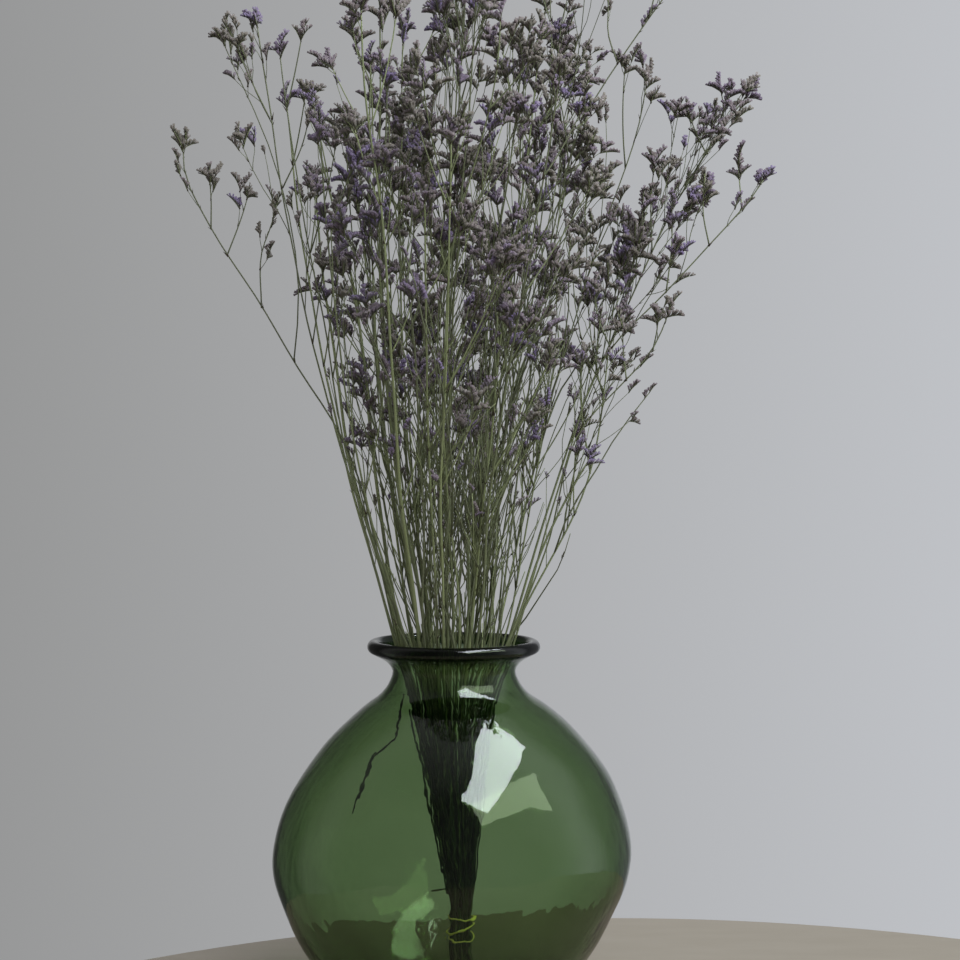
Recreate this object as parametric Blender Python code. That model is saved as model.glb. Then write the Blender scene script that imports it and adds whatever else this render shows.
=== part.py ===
"""A bunch of preserved statice standing in a round-bellied green glass vase.

Metres, +Z up. The vase stands on the ground plane with its lip centred over the origin. The vase, the
rubber band round the bundle and every stem are separate solids. A stem is one solid: its stalk, and the
twigs that grow out of the stalk's faces, each ending in a flower head. The stems keep a hair's breadth
clear of each other and of the glass.
"""

import math

import bmesh
import bpy
import numpy as np
from mathutils import Matrix

MM = 0.001
GAP = 0.3 * MM  # between neighbours that touch on the real thing

# The vase's outside from the foot to the lip, in millimetres: radius, height, and how far the hand-blown
# body leans sideways at that height.
VASE_OUTSIDE = (
    (50.0, 0.0, -3.4),
    (57.5, 3.0, -3.4),
    (67.5, 11.0, -3.4),
    (79.5, 23.0, -3.4),
    (92.5, 39.3, -3.2),
    (105.0, 62.7, -2.9),
    (113.7, 86.0, -1.8),
    (115.3, 101.5, -0.9),
    (113.4, 117.0, -0.2),
    (104.3, 140.4, 0.8),
    (89.4, 163.7, 1.8),
    (71.6, 183.2, 1.8),
    (58.0, 194.8, 1.4),
    (47.3, 202.6, 0.8),
    (41.8, 210.4, 0.4),
    (40.0, 217.5, 0.2),
    (43.2, 222.4, 0.0),
    (50.5, 227.0, 0.0),
)
OUTSIDE_RINGS = 23
VASE_SIDES = 32
WALL = 3.5 * MM
FLOOR_TOP = 8.0 * MM
FLOOR_RADIUS = 57.0 * MM
LIP_RADIUS = 51.9 * MM
LIP_HEIGHT = 232.4 * MM
LIP_HALF_WIDTH = 4.2 * MM
LIP_HALF_HEIGHT = 4.3 * MM
LIP_START = math.radians(-50)  # where the rounded lip leaves the outside of the neck, from level outward
LIP_END = math.radians(200)  # where it meets the inside
LIP_POINTS = 8
MERGE = 0.01 * MM

# The bunch, in millimetres: height, sideways place of its middle, its radius, and the share of that
# radius that it takes up at the back, where it leaves a crescent of the neck free.
BUNCH = (
    (8.4, 6.4, 9.8, 1.0),
    (40.0, 4.6, 6.9, 1.0),
    (60.0, 4.6, 6.9, 1.0),
    (100.0, 3.4, 11.6, 1.0),
    (150.0, 0.8, 18.5, 0.80),
    (197.0, -1.0, 27.0, 0.56),
    (217.5, -0.4, 32.5, 0.52),
    (240.0, 0.8, 40.0, 0.50),
    (333.0, 1.0, 65.0, 0.72),
    (457.0, 10.0, 98.0, 0.95),
    (586.0, 18.0, 128.0, 1.0),
    (690.0, 22.0, 142.0, 1.0),
)
STEMS = 48
STEM_PITCH = 1.95 * MM  # between neighbours in the bound bundle
SLOT_ROWS = range(-6, 7)
SLOT_MIDDLE = (0.2 * STEM_PITCH, 0.3 * STEM_PITCH)
SPREADING = (60 * MM, 200 * MM)  # over these heights a stalk leaves its slot for its place in the bunch
STALK_FOOT_RADIUS = 0.80 * MM
STALK_TIP_RADIUS = 0.55 * MM
TWIG_RADIUS = 0.42 * MM
HEAD_RADIUS = 2.4 * MM
HEAD_LENGTH = 17.0 * MM
HEAD_FOOT, HEAD_TOP = 0.72, 0.28  # its widest rings, as shares of its length back from the tip
LOWEST_TWIG = 300.0 * MM
TWIGS = 4
FEW_TWIGS = 2
SHORT_RUN = 100.0 * MM  # a stalk with less room than this between its lowest twig and its head has few
NODE_BELOW_HEAD = 2.2 * HEAD_LENGTH
NODE_SPREAD = (0.15, 0.85)  # where in its share of the stalk a twig may start
TWIG_LEAN = (26, 40)  # degrees from the stalk
TWIG_BARE = (35, 95)  # length without its head, in millimetres
TWIG_REACH = 0.9  # at most this share of the stalk that is left above it
TWIG_UPLIFT = (0.3, 0.6)  # how much of its lean a twig loses on its way up
TWIG_STEPS = 8
SIDES = 4  # of a stalk and of a twig
ASLANT = (0.3, 0.5, 0.1)  # a direction that no twig grows in
NODE_HALF = 0.9 * MM  # half the length of stalk that a twig grows from
TWIG_CLEAR = 4.0 * MM  # how far along a twig its first ring lies, clear of the stalk
TWIG_PIECE = 70.0 * MM  # the longest straight piece of a twig
PATH_POINTS = 60
WANDER = 0.3  # how far a stalk strays from straight above its slot, as a share of the bunch's radius
TALL_TIPS = (0.62, 0.70)
EDGE_DROP = 0.07  # how much lower a tall stalk ends at the edge of the bunch
SHORT_SHARE = 0.25
SHORT_TIPS = (0.44, 0.58)
TIP_CLEAR = 0.02  # between a stalk's tip and the last of the bunch's heights below it
BOW = 9 * MM
BOW_FROM = 0.24  # the height that a stalk's bow starts at
NECK_CLEAR = 0.01
TRIALS = 120
SEED = 41

# The stems that reach out of the bunch, in millimetres: the stalk from the neck to its tip, and then
# each twig from the stalk to its tip.
REACHING = (
    (
        (
            (-33, 5, 217.5), (-78, 7, 376), (-103, 8, 415), (-125, 8, 451),
            (-160, 6, 507), (-175, 5, 541), (-176, 4, 571),
        ),
        (
            (-103, 8, 415), (-102, 14, 460), (-106, 18, 499),
            (-124, 18, 565), (-145, 15, 612), (-158, 13, 642),
        ),
        ((-125, 8, 451), (-125, 6, 489), (-118, 4, 508), (-114, 3, 530)),
        ((-144, 7, 484), (-138, 9, 514), (-131, 10, 540)),
        ((-160, 6, 507), (-158, 4, 526), (-161, 3, 552)),
    ),
    (
        (
            (-27, -10, 217.5), (-72, -14, 362), (-90, -18, 430),
            (-102, -21, 495), (-114, -23, 556), (-126, -24, 645),
        ),
        ((-90, -18, 430), (-84, -22, 462), (-80, -25, 492)),
        ((-107, -22, 520), (-95, -26, 552), (-88, -28, 584)),
        ((-116, -23, 568), (-131, -28, 600), (-143, -31, 630)),
    ),
    (
        (
            (23, -3, 217.5), (48, -6, 392), (68, -10, 520), (80, -12, 563),
            (102, -14, 602), (128, -16, 639), (154, -18, 672),
        ),
        ((74, -11, 542), (70, -16, 572), (62, -20, 604)),
        ((102, -14, 602), (99, -13, 625), (99, -12, 646), (95, -11, 674)),
        ((128, -16, 639), (129, -14, 655), (127, -12, 682)),
    ),
    (
        (
            (31, 9, 217.5), (69, 14, 346), (112, 22, 450), (151, 28, 529),
            (167, 31, 556), (181, 33, 578), (206, 35, 611),
        ),
        ((132, 25, 490), (130, 20, 528), (134, 16, 562)),
        ((167, 31, 556), (161, 33, 573), (152, 35, 602)),
        ((181, 33, 578), (179, 31, 592), (174, 30, 614)),
    ),
    (
        (
            (34, -6, 217.5), (66, -10, 327), (98, -14, 420), (136, -18, 460),
            (160, -22, 486), (190, -26, 520), (205, -28, 543),
        ),
        ((98, -14, 420), (92, -12, 446), (92, -10, 478)),
        ((136, -18, 460), (139, -15, 486), (140, -13, 522)),
        ((160, -22, 486), (158, -25, 508), (160, -27, 540)),
        ((179, -24, 508), (182, -21, 524), (180, -19, 548)),
    ),
    (
        (
            (30, -17, 217.5), (60, -24, 300), (83, -28, 374),
            (108, -30, 401), (125, -31, 420), (141, -32, 458),
        ),
        ((83, -28, 374), (80, -33, 400), (84, -37, 430)),
        ((108, -30, 401), (107, -28, 425), (108, -26, 450)),
        ((125, -31, 420), (128, -34, 436), (127, -36, 456)),
    ),
    (
        ((27, -22, 217.5), (40, -26, 249), (57, -30, 298), (77, -33, 340), (93, -35, 366)),
        ((73, -32, 331), (77, -38, 350), (82, -42, 374)),
    ),
)
OUTERMOST_HEAD = 1.12  # how far out a head of the bunch may reach, as a share of the bunch's radius
HIGHEST_HEAD = 692.0 * MM

# The rubber band's three turns: the height where each turn passes the left side, and the right side.
BAND_TURNS = ((57.5 * MM, 55.6 * MM), (47.8 * MM, 52.3 * MM), (44.6 * MM, 43.2 * MM))
BAND_RADIUS = 0.55 * MM
BAND_STEPS = 20  # round each turn
BAND_SIDES = 5

SHARP_ANGLE = math.radians(40)
GLASS_GREEN = (0.10, 0.22, 0.08, 1.0)
STALK_GREEN = (0.16, 0.18, 0.09, 1.0)
BAND_YELLOW = (0.55, 0.45, 0.12, 1.0)


def smooth_rows(rows, count):
    """count rows, evenly spaced along a smooth curve through the given rows."""
    rows = np.asarray(rows, float)
    chord = np.r_[0.0, np.cumsum(np.linalg.norm(np.diff(rows, axis=0), axis=1))]
    slope = np.gradient(rows, chord, axis=0)
    at = np.linspace(0.0, chord[-1], count)
    i = np.clip(np.searchsorted(chord, at, side="right") - 1, 0, len(rows) - 2)
    width = (chord[i + 1] - chord[i])[:, None]
    t = (at - chord[i])[:, None] / width
    start = (2 * t**3 - 3 * t**2 + 1) * rows[i] + (t**3 - 2 * t**2 + t) * width * slope[i]
    end = (3 * t**2 - 2 * t**3) * rows[i + 1] + (t**3 - t**2) * width * slope[i + 1]
    return start + end


def ease(value, low, high):
    """0 below low, 1 above high, and a smooth step between."""
    t = min(max((value - low) / (high - low), 0.0), 1.0)
    return t * t * (3.0 - 2.0 * t)


def unit(vector):
    return vector / np.linalg.norm(vector)


# ---- vase ----


def vase_profile():
    """The section of the wall, from the middle of the foot, over the lip, to the middle of the floor.

    Each row is a radius, a height and a sideways lean.
    """
    outside = smooth_rows(VASE_OUTSIDE, OUTSIDE_RINGS) * MM
    run = np.gradient(outside[:, :2], axis=0)
    inward = np.c_[-run[:, 1], run[:, 0]] / np.linalg.norm(run, axis=1)[:, None]
    inside = outside.copy()
    inside[:, :2] += inward * WALL
    inside = inside[inside[:, 1] > FLOOR_TOP + WALL][::-1]
    turn = np.linspace(LIP_START, LIP_END, LIP_POINTS)
    lip = np.c_[
        LIP_RADIUS + LIP_HALF_WIDTH * np.cos(turn),
        LIP_HEIGHT + LIP_HALF_HEIGHT * np.sin(turn),
        np.zeros(LIP_POINTS),
    ]
    lean = outside[0, 2]
    foot = (0.0, 0.0, lean)
    floor = ((FLOOR_RADIUS, FLOOR_TOP, lean), (0.0, FLOOR_TOP, lean))
    return np.vstack([foot, outside, lip, inside, floor])


def vase_body(profile):
    """The section spun about +Z, each of its rings then shifted sideways by its own lean."""
    bm = bmesh.new()
    lean_layer = bm.verts.layers.float.new("lean")
    line = []
    for radius, height, lean in profile:
        vert = bm.verts.new((radius, 0.0, height))
        vert[lean_layer] = lean
        line.append(vert)
    edges = [bm.edges.new(pair) for pair in zip(line, line[1:])]
    bmesh.ops.spin(
        bm,
        geom=line + edges,
        cent=(0, 0, 0),
        axis=(0, 0, 1),
        angle=math.tau,
        steps=VASE_SIDES,
        use_merge=True,
    )
    bmesh.ops.remove_doubles(bm, verts=bm.verts, dist=MERGE)
    half_side = Matrix.Rotation(math.pi / VASE_SIDES, 3, "Z")
    bmesh.ops.rotate(bm, cent=(0, 0, 0), matrix=half_side, verts=bm.verts)
    for vert in bm.verts:
        vert.co.x += vert[lean_layer]
    bm.verts.layers.float.remove(lean_layer)
    return bm


# ---- paths and the gaps between them ----


class Path:
    """A smooth line in space, with a side direction carried along it without twisting."""

    def __init__(self, points, facing):
        self.points = np.asarray(points, float)
        self.along = np.r_[0.0, np.cumsum(np.linalg.norm(np.diff(self.points, axis=0), axis=1))]
        self.length = self.along[-1]
        run = np.gradient(self.points, self.along, axis=0)
        self.tangent = run / np.linalg.norm(run, axis=1)[:, None]
        self.side = np.zeros_like(self.points)
        side = np.asarray(facing, float)
        for i, tangent in enumerate(self.tangent):
            side = unit(side - tangent * (side @ tangent))
            self.side[i] = side

    def at(self, distance):
        """The place, the tangent and the side direction this far along."""
        place, tangent, side = (
            np.array([np.interp(distance, self.along, column) for column in rows.T])
            for rows in (self.points, self.tangent, self.side)
        )
        tangent = unit(tangent)
        return place, tangent, unit(side - tangent * (side @ tangent))

    def at_height(self, height):
        return float(np.interp(height, self.points[:, 2], self.along))

    def nearest(self, point):
        return float(self.along[np.argmin(np.linalg.norm(self.points - point, axis=1))])


class Rods:
    """Round rods that are already in place, each with its owner, to test a new one against."""

    def __init__(self):
        self.start = np.zeros((0, 3))
        self.end = np.zeros((0, 3))
        self.radius = np.zeros(0)
        self.owner = np.zeros(0, int)

    def add(self, points, radii, owner):
        self.start = np.vstack([self.start, points[:-1]])
        self.end = np.vstack([self.end, points[1:]])
        self.radius = np.r_[self.radius, np.maximum(radii[:-1], radii[1:])]
        self.owner = np.r_[self.owner, np.full(len(points) - 1, owner)]

    def gap(self, points, radii, among):
        """The smallest gap between a new rod through these points and the placed rods among picks."""
        middle = points.mean(axis=0)
        reach = np.linalg.norm(points - middle, axis=1).max() + 2 * HEAD_RADIUS
        half = np.linalg.norm(self.end - self.start, axis=1) / 2
        near = among & (np.linalg.norm((self.start + self.end) / 2 - middle, axis=1) < reach + half)
        if not near.any():
            return math.inf
        d1 = (points[1:] - points[:-1])[:, None]
        d2 = (self.end - self.start)[None, near]
        r = points[:-1, None] - self.start[None, near]
        a, e, b = (d1 * d1).sum(2), (d2 * d2).sum(2), (d1 * d2).sum(2)
        c, f = (d1 * r).sum(2), (d2 * r).sum(2)
        s = np.clip((b * f - c * e) / np.maximum(a * e - b * b, 1e-18), 0.0, 1.0)
        t = np.clip((b * s + f) / e, 0.0, 1.0)
        s = np.clip((b * t - c) / a, 0.0, 1.0)
        apart = np.linalg.norm(r + d1 * s[..., None] - d2 * t[..., None], axis=2)
        thick = np.maximum(radii[:-1], radii[1:])[:, None] + self.radius[None, near]
        return float((apart - thick).min())


def glass_gap(points, radius, profile):
    """The smallest level gap between a stalk and the inside of the vase."""
    inside = profile[np.argmax(profile[:, 1]) : -1][::-1]
    steps = np.linspace(0.0, 1.0, 9)[:, None]
    line = np.vstack([start + (end - start) * steps for start, end in zip(points, points[1:])])
    line = line[line[:, 2] < inside[-1, 1]]
    wall = np.interp(line[:, 2], inside[:, 1], inside[:, 0]) * math.cos(math.pi / VASE_SIDES)
    lean = np.interp(line[:, 2], inside[:, 1], inside[:, 2])
    return float((wall - np.hypot(line[:, 0] - lean, line[:, 1])).min()) - radius


# ---- stems ----


def bundle_slots():
    """Places of the stalks in the bound bundle, packed like pencils, the middle ones first."""
    slots = [
        ((i + 0.5 * (j % 2)) * STEM_PITCH, j * STEM_PITCH * math.sqrt(0.75))
        for i in SLOT_ROWS
        for j in SLOT_ROWS
    ]
    slots = np.array(sorted(slots, key=lambda slot: math.dist(slot, SLOT_MIDDLE))[:STEMS])
    slots -= slots.mean(axis=0)
    return slots / np.linalg.norm(slots, axis=1).max()


def bunch_row(height):
    rows = np.array(BUNCH)
    return [np.interp(height / MM, rows[:, 0], rows[:, k]) for k in (1, 2, 3)]


def bunch_point(height, place):
    """Where a stalk runs at this height. Its place is (0, 0) in the middle and of length 1 at the edge."""
    middle, radius, back = bunch_row(height)
    deep = place[1] * (back if place[1] > 0 else 1.0)
    return np.array([(middle + radius * place[0]) * MM, radius * deep * MM, height])


def place_of(point):
    """The place across the bunch that bunch_point would put at this point."""
    middle, radius, back = bunch_row(point[2])
    place = np.array([point[0] / MM - middle, point[1] / MM]) / radius
    if place[1] > 0:
        place[1] /= back
    return place


def bunch_heights(top):
    return [row[0] * MM for row in BUNCH if row[0] * MM < top]


def stalk_rows(slot, place, heights):
    """Points of a stalk that leaves its slot in the bound bundle for its own place across the bunch."""
    rows = []
    for height in heights:
        mix = ease(height, *SPREADING)
        rows.append(bunch_point(height, slot * (1 - mix) + place * mix))
    return rows


class Stem:
    """A stalk's middle line, and the places along it that its twigs grow from."""

    def __init__(self, path, nodes):
        self.path = path
        self.nodes = sorted(nodes)
        self.twigs = []

    def stations(self):
        """How far along its rings lie: at the bunch's heights, beside each twig, and along the head."""
        plain = bunch_heights(min(LOWEST_TWIG, self.path.points[-1, 2]))
        marks = [self.path.at_height(height) for height in plain]
        for node in self.nodes:
            marks += [node - NODE_HALF, node + NODE_HALF]
        end = self.path.length
        return marks + [end - share * HEAD_LENGTH for share in (1.0, HEAD_FOOT, HEAD_TOP, 0.0)]

    def radii(self):
        along = np.array(self.stations()) / self.path.length
        radii = STALK_FOOT_RADIUS + (STALK_TIP_RADIUS - STALK_FOOT_RADIUS) * along
        radii[-3:] = HEAD_RADIUS, HEAD_RADIUS, STALK_TIP_RADIUS
        return radii

    def corners(self):
        return np.array([self.path.at(mark)[0] for mark in self.stations()])


def random_stalk(slot, rng, wander):
    """A stalk of the bunch: the further out it stands, the lower its tip, and some stay short."""
    place = slot + rng.normal(0.0, wander, 2)
    place /= max(1.0, np.linalg.norm(place))
    top = rng.uniform(*TALL_TIPS) - EDGE_DROP * (place @ place)
    if rng.random() < SHORT_SHARE:
        top = rng.uniform(*SHORT_TIPS)
    heights = bunch_heights(top - TIP_CLEAR) + [top]
    rows = np.array(stalk_rows(slot, place, heights))
    bow = rng.normal(0.0, BOW, 2)
    swing = np.array([math.sin(math.pi * ease(height, BOW_FROM, top)) for height in heights])
    rows[:, :2] += bow * swing[:, None]
    return rows


def reaching_stalk(slot, rows):
    rows = np.array(rows, float) * MM
    low = stalk_rows(slot, place_of(rows[0]), bunch_heights(rows[0, 2] - NECK_CLEAR))
    return np.vstack([low, rows])


def nodes_along(path, rng):
    """Places for a stalk's twigs, spread from the lowest one to just under the head."""
    low = path.at_height(LOWEST_TWIG)
    high = path.length - NODE_BELOW_HEAD
    count = TWIGS if high - low > SHORT_RUN else FEW_TWIGS
    step = (high - low) / count
    return [low + step * (k + rng.uniform(*NODE_SPREAD)) for k in range(count)]


def settle(stem, stems, rods, profile):
    """Adds the stem's stalk if it is clear of everything before it and of the glass."""
    corners, radii = stem.corners(), stem.radii()
    others = rods.owner != len(stems)
    if rods.gap(corners, radii, others) < GAP or glass_gap(corners, radii[0], profile) < GAP:
        return False
    rods.add(corners, radii, len(stems))
    stems.append(stem)
    return True


def grow_reaching_stems(slots, rods, profile, rng):
    """The stems that reach out of the bunch, each in the slot nearest its way out, with its twigs."""
    stems = []
    for owner, (stalk, *routes) in enumerate(REACHING):
        aim = place_of(np.array(stalk[0]) * MM)
        slots.sort(key=lambda slot: math.dist(slot, aim))
        rows = reaching_stalk(slots.pop(0), stalk)
        path = Path(smooth_rows(rows, PATH_POINTS), rng.normal(0.0, 1.0, 3))
        stem = Stem(path, [path.nearest(np.array(route[0]) * MM) for route in routes])
        if not settle(stem, stems, rods, profile):
            raise ValueError(f"reaching stalk {owner} meets another stem or the glass")
        for route, node in zip(routes, stem.nodes):
            rows = np.array(route, float) * MM
            rows[0] = path.at(node)[0]
            if not keep_clear_twig(Twig(rows, node), stem, owner, rods):
                raise ValueError(f"the twig to {route[-1]} meets another stem")
    return stems


def grow_bunch(stems, slots, rods, profile, rng):
    """The other stems: first all their stalks, then their twigs, each clear of everything before it."""
    first_owner = len(stems)
    for slot in slots:
        for trial in range(TRIALS):
            rows = random_stalk(slot, rng, WANDER * (1 - trial / TRIALS))
            path = Path(smooth_rows(rows, PATH_POINTS), rng.normal(0.0, 1.0, 3))
            if settle(Stem(path, nodes_along(path, rng)), stems, rods, profile):
                break
        else:
            raise ValueError("a stalk found no way through the bunch")
    for owner, stem in list(enumerate(stems))[first_owner:]:
        for node in stem.nodes:
            face = rng.integers(SIDES)
            for trial in range(TRIALS):
                twig = random_twig(stem, node, face + trial, rng, 1 - trial / TRIALS)
                if in_bounds(twig) and keep_clear_twig(twig, stem, owner, rods):
                    break


def bent_rows(start, tangent, side, lean, uplift, length):
    """Points of a twig that leaves the stalk at an angle and bends upward."""
    rows = [start]
    for k in range(TWIG_STEPS):
        angle = lean * (1 - uplift * (k + 0.5) / TWIG_STEPS)
        ahead = tangent * math.cos(angle) + side * math.sin(angle)
        rows.append(rows[-1] + ahead * length / TWIG_STEPS)
    return rows


class Twig:
    """A twig's middle line, from the middle of the stalk to the tip of its flower head."""

    def __init__(self, rows, node):
        self.path = Path(smooth_rows(rows, PATH_POINTS), np.cross(rows[1] - rows[0], ASLANT))
        self.node = node

    def stations(self):
        end = self.path.length
        bare = end - HEAD_LENGTH
        pieces = math.ceil(bare / TWIG_PIECE)
        marks = [TWIG_CLEAR] + [bare * (k + 1) / pieces for k in range(pieces)]
        return marks + [end - share * HEAD_LENGTH for share in (HEAD_FOOT, HEAD_TOP, 0.0)]

    def radii(self):
        radii = np.full(len(self.stations()), TWIG_RADIUS)
        radii[-3:-1] = HEAD_RADIUS
        return radii

    def corners(self):
        return np.array([self.path.at(mark)[0] for mark in self.stations()])


def face_direction(stem, node, face):
    """The outward direction of one of the stalk's faces."""
    _, tangent, side = stem.path.at(node)
    turn = (face + 0.5) * math.tau / SIDES
    return side * math.cos(turn) + np.cross(tangent, side) * math.sin(turn)


def random_twig(stem, node, face, rng, spare):
    """A twig that leaves from one face of the stalk, shorter as spare falls from 1 to 0."""
    start, tangent, _ = stem.path.at(node)
    side = face_direction(stem, node, face)
    lean = math.radians(rng.uniform(*TWIG_LEAN))
    bare = min(rng.uniform(*TWIG_BARE) * MM * spare, (stem.path.length - node) * TWIG_REACH)
    uplift = rng.uniform(*TWIG_UPLIFT)
    return Twig(bent_rows(start, tangent, side, lean, uplift, HEAD_LENGTH + bare), node)


def in_bounds(twig):
    tip = twig.path.points[-1]
    return tip[2] < HIGHEST_HEAD and np.linalg.norm(place_of(tip)) < OUTERMOST_HEAD


def keep_clear_twig(twig, stem, owner, rods):
    """Adds the twig if it is clear of everything but its own stalk."""
    if rods.gap(twig.corners(), twig.radii(), rods.owner != owner) < GAP:
        return False
    stem.twigs.append(twig)
    rods.add(twig.corners(), twig.radii(), -1 - owner)
    return True


def place_ring(verts, path, mark, radius, first=0.0):
    """Puts the corners of a ring round the path, the first one turned this far from its side."""
    place, tangent, side = path.at(mark)
    over = np.cross(tangent, side)
    for k, vert in enumerate(verts):
        angle = first + k * math.tau / SIDES
        vert.co = place + radius * (side * math.cos(angle) + over * math.sin(angle))


def stem_body(stem):
    """One closed solid: the stalk lofted through its rings, and the twigs extruded from its faces."""
    bm = bmesh.new()
    rings = []
    for mark, radius in zip(stem.stations(), stem.radii()):
        ring = [bm.verts.new() for _ in range(SIDES)]
        place_ring(ring, stem.path, mark, radius)
        rings.append(ring)
    bm.faces.new(rings[0][::-1])
    bm.faces.new(rings[-1])
    walls = {}
    for i, (low, high) in enumerate(zip(rings, rings[1:])):
        for k in range(SIDES):
            j = (k + 1) % SIDES
            walls[i, k] = bm.faces.new((low[k], low[j], high[j], high[k]))
    stations = np.array(stem.stations())
    for twig in stem.twigs:
        start = int(np.argmin(abs(stations - (twig.node - NODE_HALF))))
        leaving = twig.path.at(TWIG_CLEAR)[0] - twig.path.points[0]
        face = max(range(SIDES), key=lambda k: face_direction(stem, twig.node, k) @ leaving)
        extrude_twig(bm, walls[start, face], twig)
    return bm


def extrude_twig(bm, face, twig):
    """Grows a twig out of one face of the stalk, ring by ring."""
    middle = np.array(face.calc_center_median())
    _, tangent, side = twig.path.at(0.0)
    over = np.cross(tangent, side)
    out = [np.array(vert.co) - middle for vert in face.verts]
    lags = [math.atan2(way @ over, way @ side) - k * math.tau / SIDES for k, way in enumerate(out)]
    first = math.atan2(sum(math.sin(lag) for lag in lags), sum(math.cos(lag) for lag in lags))
    for mark, radius in zip(twig.stations(), twig.radii()):
        face = bmesh.ops.extrude_discrete_faces(bm, faces=[face])["faces"][0]
        place_ring(face.verts, twig.path, mark, radius, first)


# ---- rubber band ----


def band_points():
    """The middle line of the band: three turns, the last one crossing back over the others behind."""
    middle, radius, _ = bunch_row(BAND_TURNS[1][0])
    reach = radius * MM + STALK_FOOT_RADIUS + GAP + BAND_RADIUS
    half = BAND_STEPS // 2
    points = []
    for turn, (left, right) in enumerate(BAND_TURNS):
        again = BAND_TURNS[(turn + 1) % len(BAND_TURNS)][0]
        crossing = turn == len(BAND_TURNS) - 1
        for k in range(BAND_STEPS):
            behind = k >= half
            share = ease(k % half, 0, half)
            height = right + (again - right) * share if behind else left + (right - left) * share
            out = reach
            if behind and crossing:
                out += (2 * BAND_RADIUS + GAP) * math.sin(math.pi * (k - half) / half) ** 0.5
            angle = math.pi + k * math.tau / BAND_STEPS
            points.append((middle * MM + out * math.cos(angle), out * math.sin(angle), height))
    return np.array(points)


def band_body():
    """The band as one closed ring of rubber, lofted along its turns."""
    bm = bmesh.new()
    points = band_points()
    run = np.roll(points, -1, axis=0) - np.roll(points, 1, axis=0)
    middle = np.array([bunch_row(BAND_TURNS[1][0])[0] * MM, 0.0, 0.0])
    rings = []
    for point, tangent in zip(points, run):
        tangent = unit(tangent)
        level = (point - middle) * (1, 1, 0)
        side = unit(level - tangent * (level @ tangent))
        over = np.cross(tangent, side)
        ring = []
        for k in range(BAND_SIDES):
            angle = k * math.tau / BAND_SIDES
            out = side * math.cos(angle) + over * math.sin(angle)
            ring.append(bm.verts.new(point + BAND_RADIUS * out))
        rings.append(ring)
    for low, high in zip(rings, rings[1:] + rings[:1]):
        for k in range(BAND_SIDES):
            j = (k + 1) % BAND_SIDES
            bm.faces.new((low[k], low[j], high[j], high[k]))
    return bm


# ---- assembly ----


def material(name, colour, roughness, transmission=0.0):
    made = bpy.data.materials.new(name)
    made.use_nodes = True
    shader = made.node_tree.nodes["Principled BSDF"]
    shader.inputs["Base Color"].default_value = colour
    shader.inputs["Roughness"].default_value = roughness
    shader.inputs["Metallic"].default_value = 0.0
    shader.inputs["Transmission Weight"].default_value = transmission
    return made


def add_part(name, bm, look):
    """The bmesh as a named, smooth-shaded object."""
    bmesh.ops.recalc_face_normals(bm, faces=bm.faces)
    mesh = bpy.data.meshes.new(name)
    bm.to_mesh(mesh)
    bm.free()
    mesh.shade_smooth()
    mesh.set_sharp_from_angle(angle=SHARP_ANGLE)
    mesh.materials.append(look)
    part = bpy.data.objects.new(name, mesh)
    bpy.context.scene.collection.objects.link(part)


def main():
    for old in list(bpy.data.objects):
        bpy.data.objects.remove(old)
    glass = material("green_glass", GLASS_GREEN, 0.05, 1.0)
    stalk = material("statice", STALK_GREEN, 0.8)
    rubber = material("yellow_rubber", BAND_YELLOW, 0.6)
    profile = vase_profile()
    add_part("vase", vase_body(profile), glass)
    add_part("binding_band", band_body(), rubber)
    rng = np.random.default_rng(SEED)
    rods = Rods()
    slots = list(bundle_slots())
    stems = grow_reaching_stems(slots, rods, profile, rng)
    grow_bunch(stems, slots, rods, profile, rng)
    for number, stem in enumerate(stems, 1):
        add_part(f"stem_{number:02d}", stem_body(stem), stalk)


main()
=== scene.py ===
"""The looks of a bunch of preserved statice standing in a round-bellied green glass vase.

Metres, +Z up. The vase is turned from a fine profile. Every stem of the frame is dressed along its own
stalk and twigs: tapering shoots, side shoots, bracts, and one-sided spikes of papery florets. The way that
the stems grow is the frame's own, so each dressed stem lies on the solid that it stands for.
"""

import math

import bmesh
import bpy
import numpy as np
from mathutils import Matrix, Vector
from mathutils.noise import noise


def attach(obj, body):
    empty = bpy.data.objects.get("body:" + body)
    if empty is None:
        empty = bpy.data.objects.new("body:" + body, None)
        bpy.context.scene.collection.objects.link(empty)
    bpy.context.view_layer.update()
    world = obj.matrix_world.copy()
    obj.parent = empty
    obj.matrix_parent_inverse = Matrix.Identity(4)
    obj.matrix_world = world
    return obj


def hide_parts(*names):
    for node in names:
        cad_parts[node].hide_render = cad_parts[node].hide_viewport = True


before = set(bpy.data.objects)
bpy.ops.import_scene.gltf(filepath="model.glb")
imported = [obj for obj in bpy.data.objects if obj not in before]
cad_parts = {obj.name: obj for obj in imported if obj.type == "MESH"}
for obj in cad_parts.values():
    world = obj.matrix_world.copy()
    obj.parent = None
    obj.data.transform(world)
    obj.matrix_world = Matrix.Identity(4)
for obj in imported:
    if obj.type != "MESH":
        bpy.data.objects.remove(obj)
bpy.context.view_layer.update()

MM = 0.001
GAP = 0.3 * MM  # between neighbours that touch on the real thing

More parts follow.
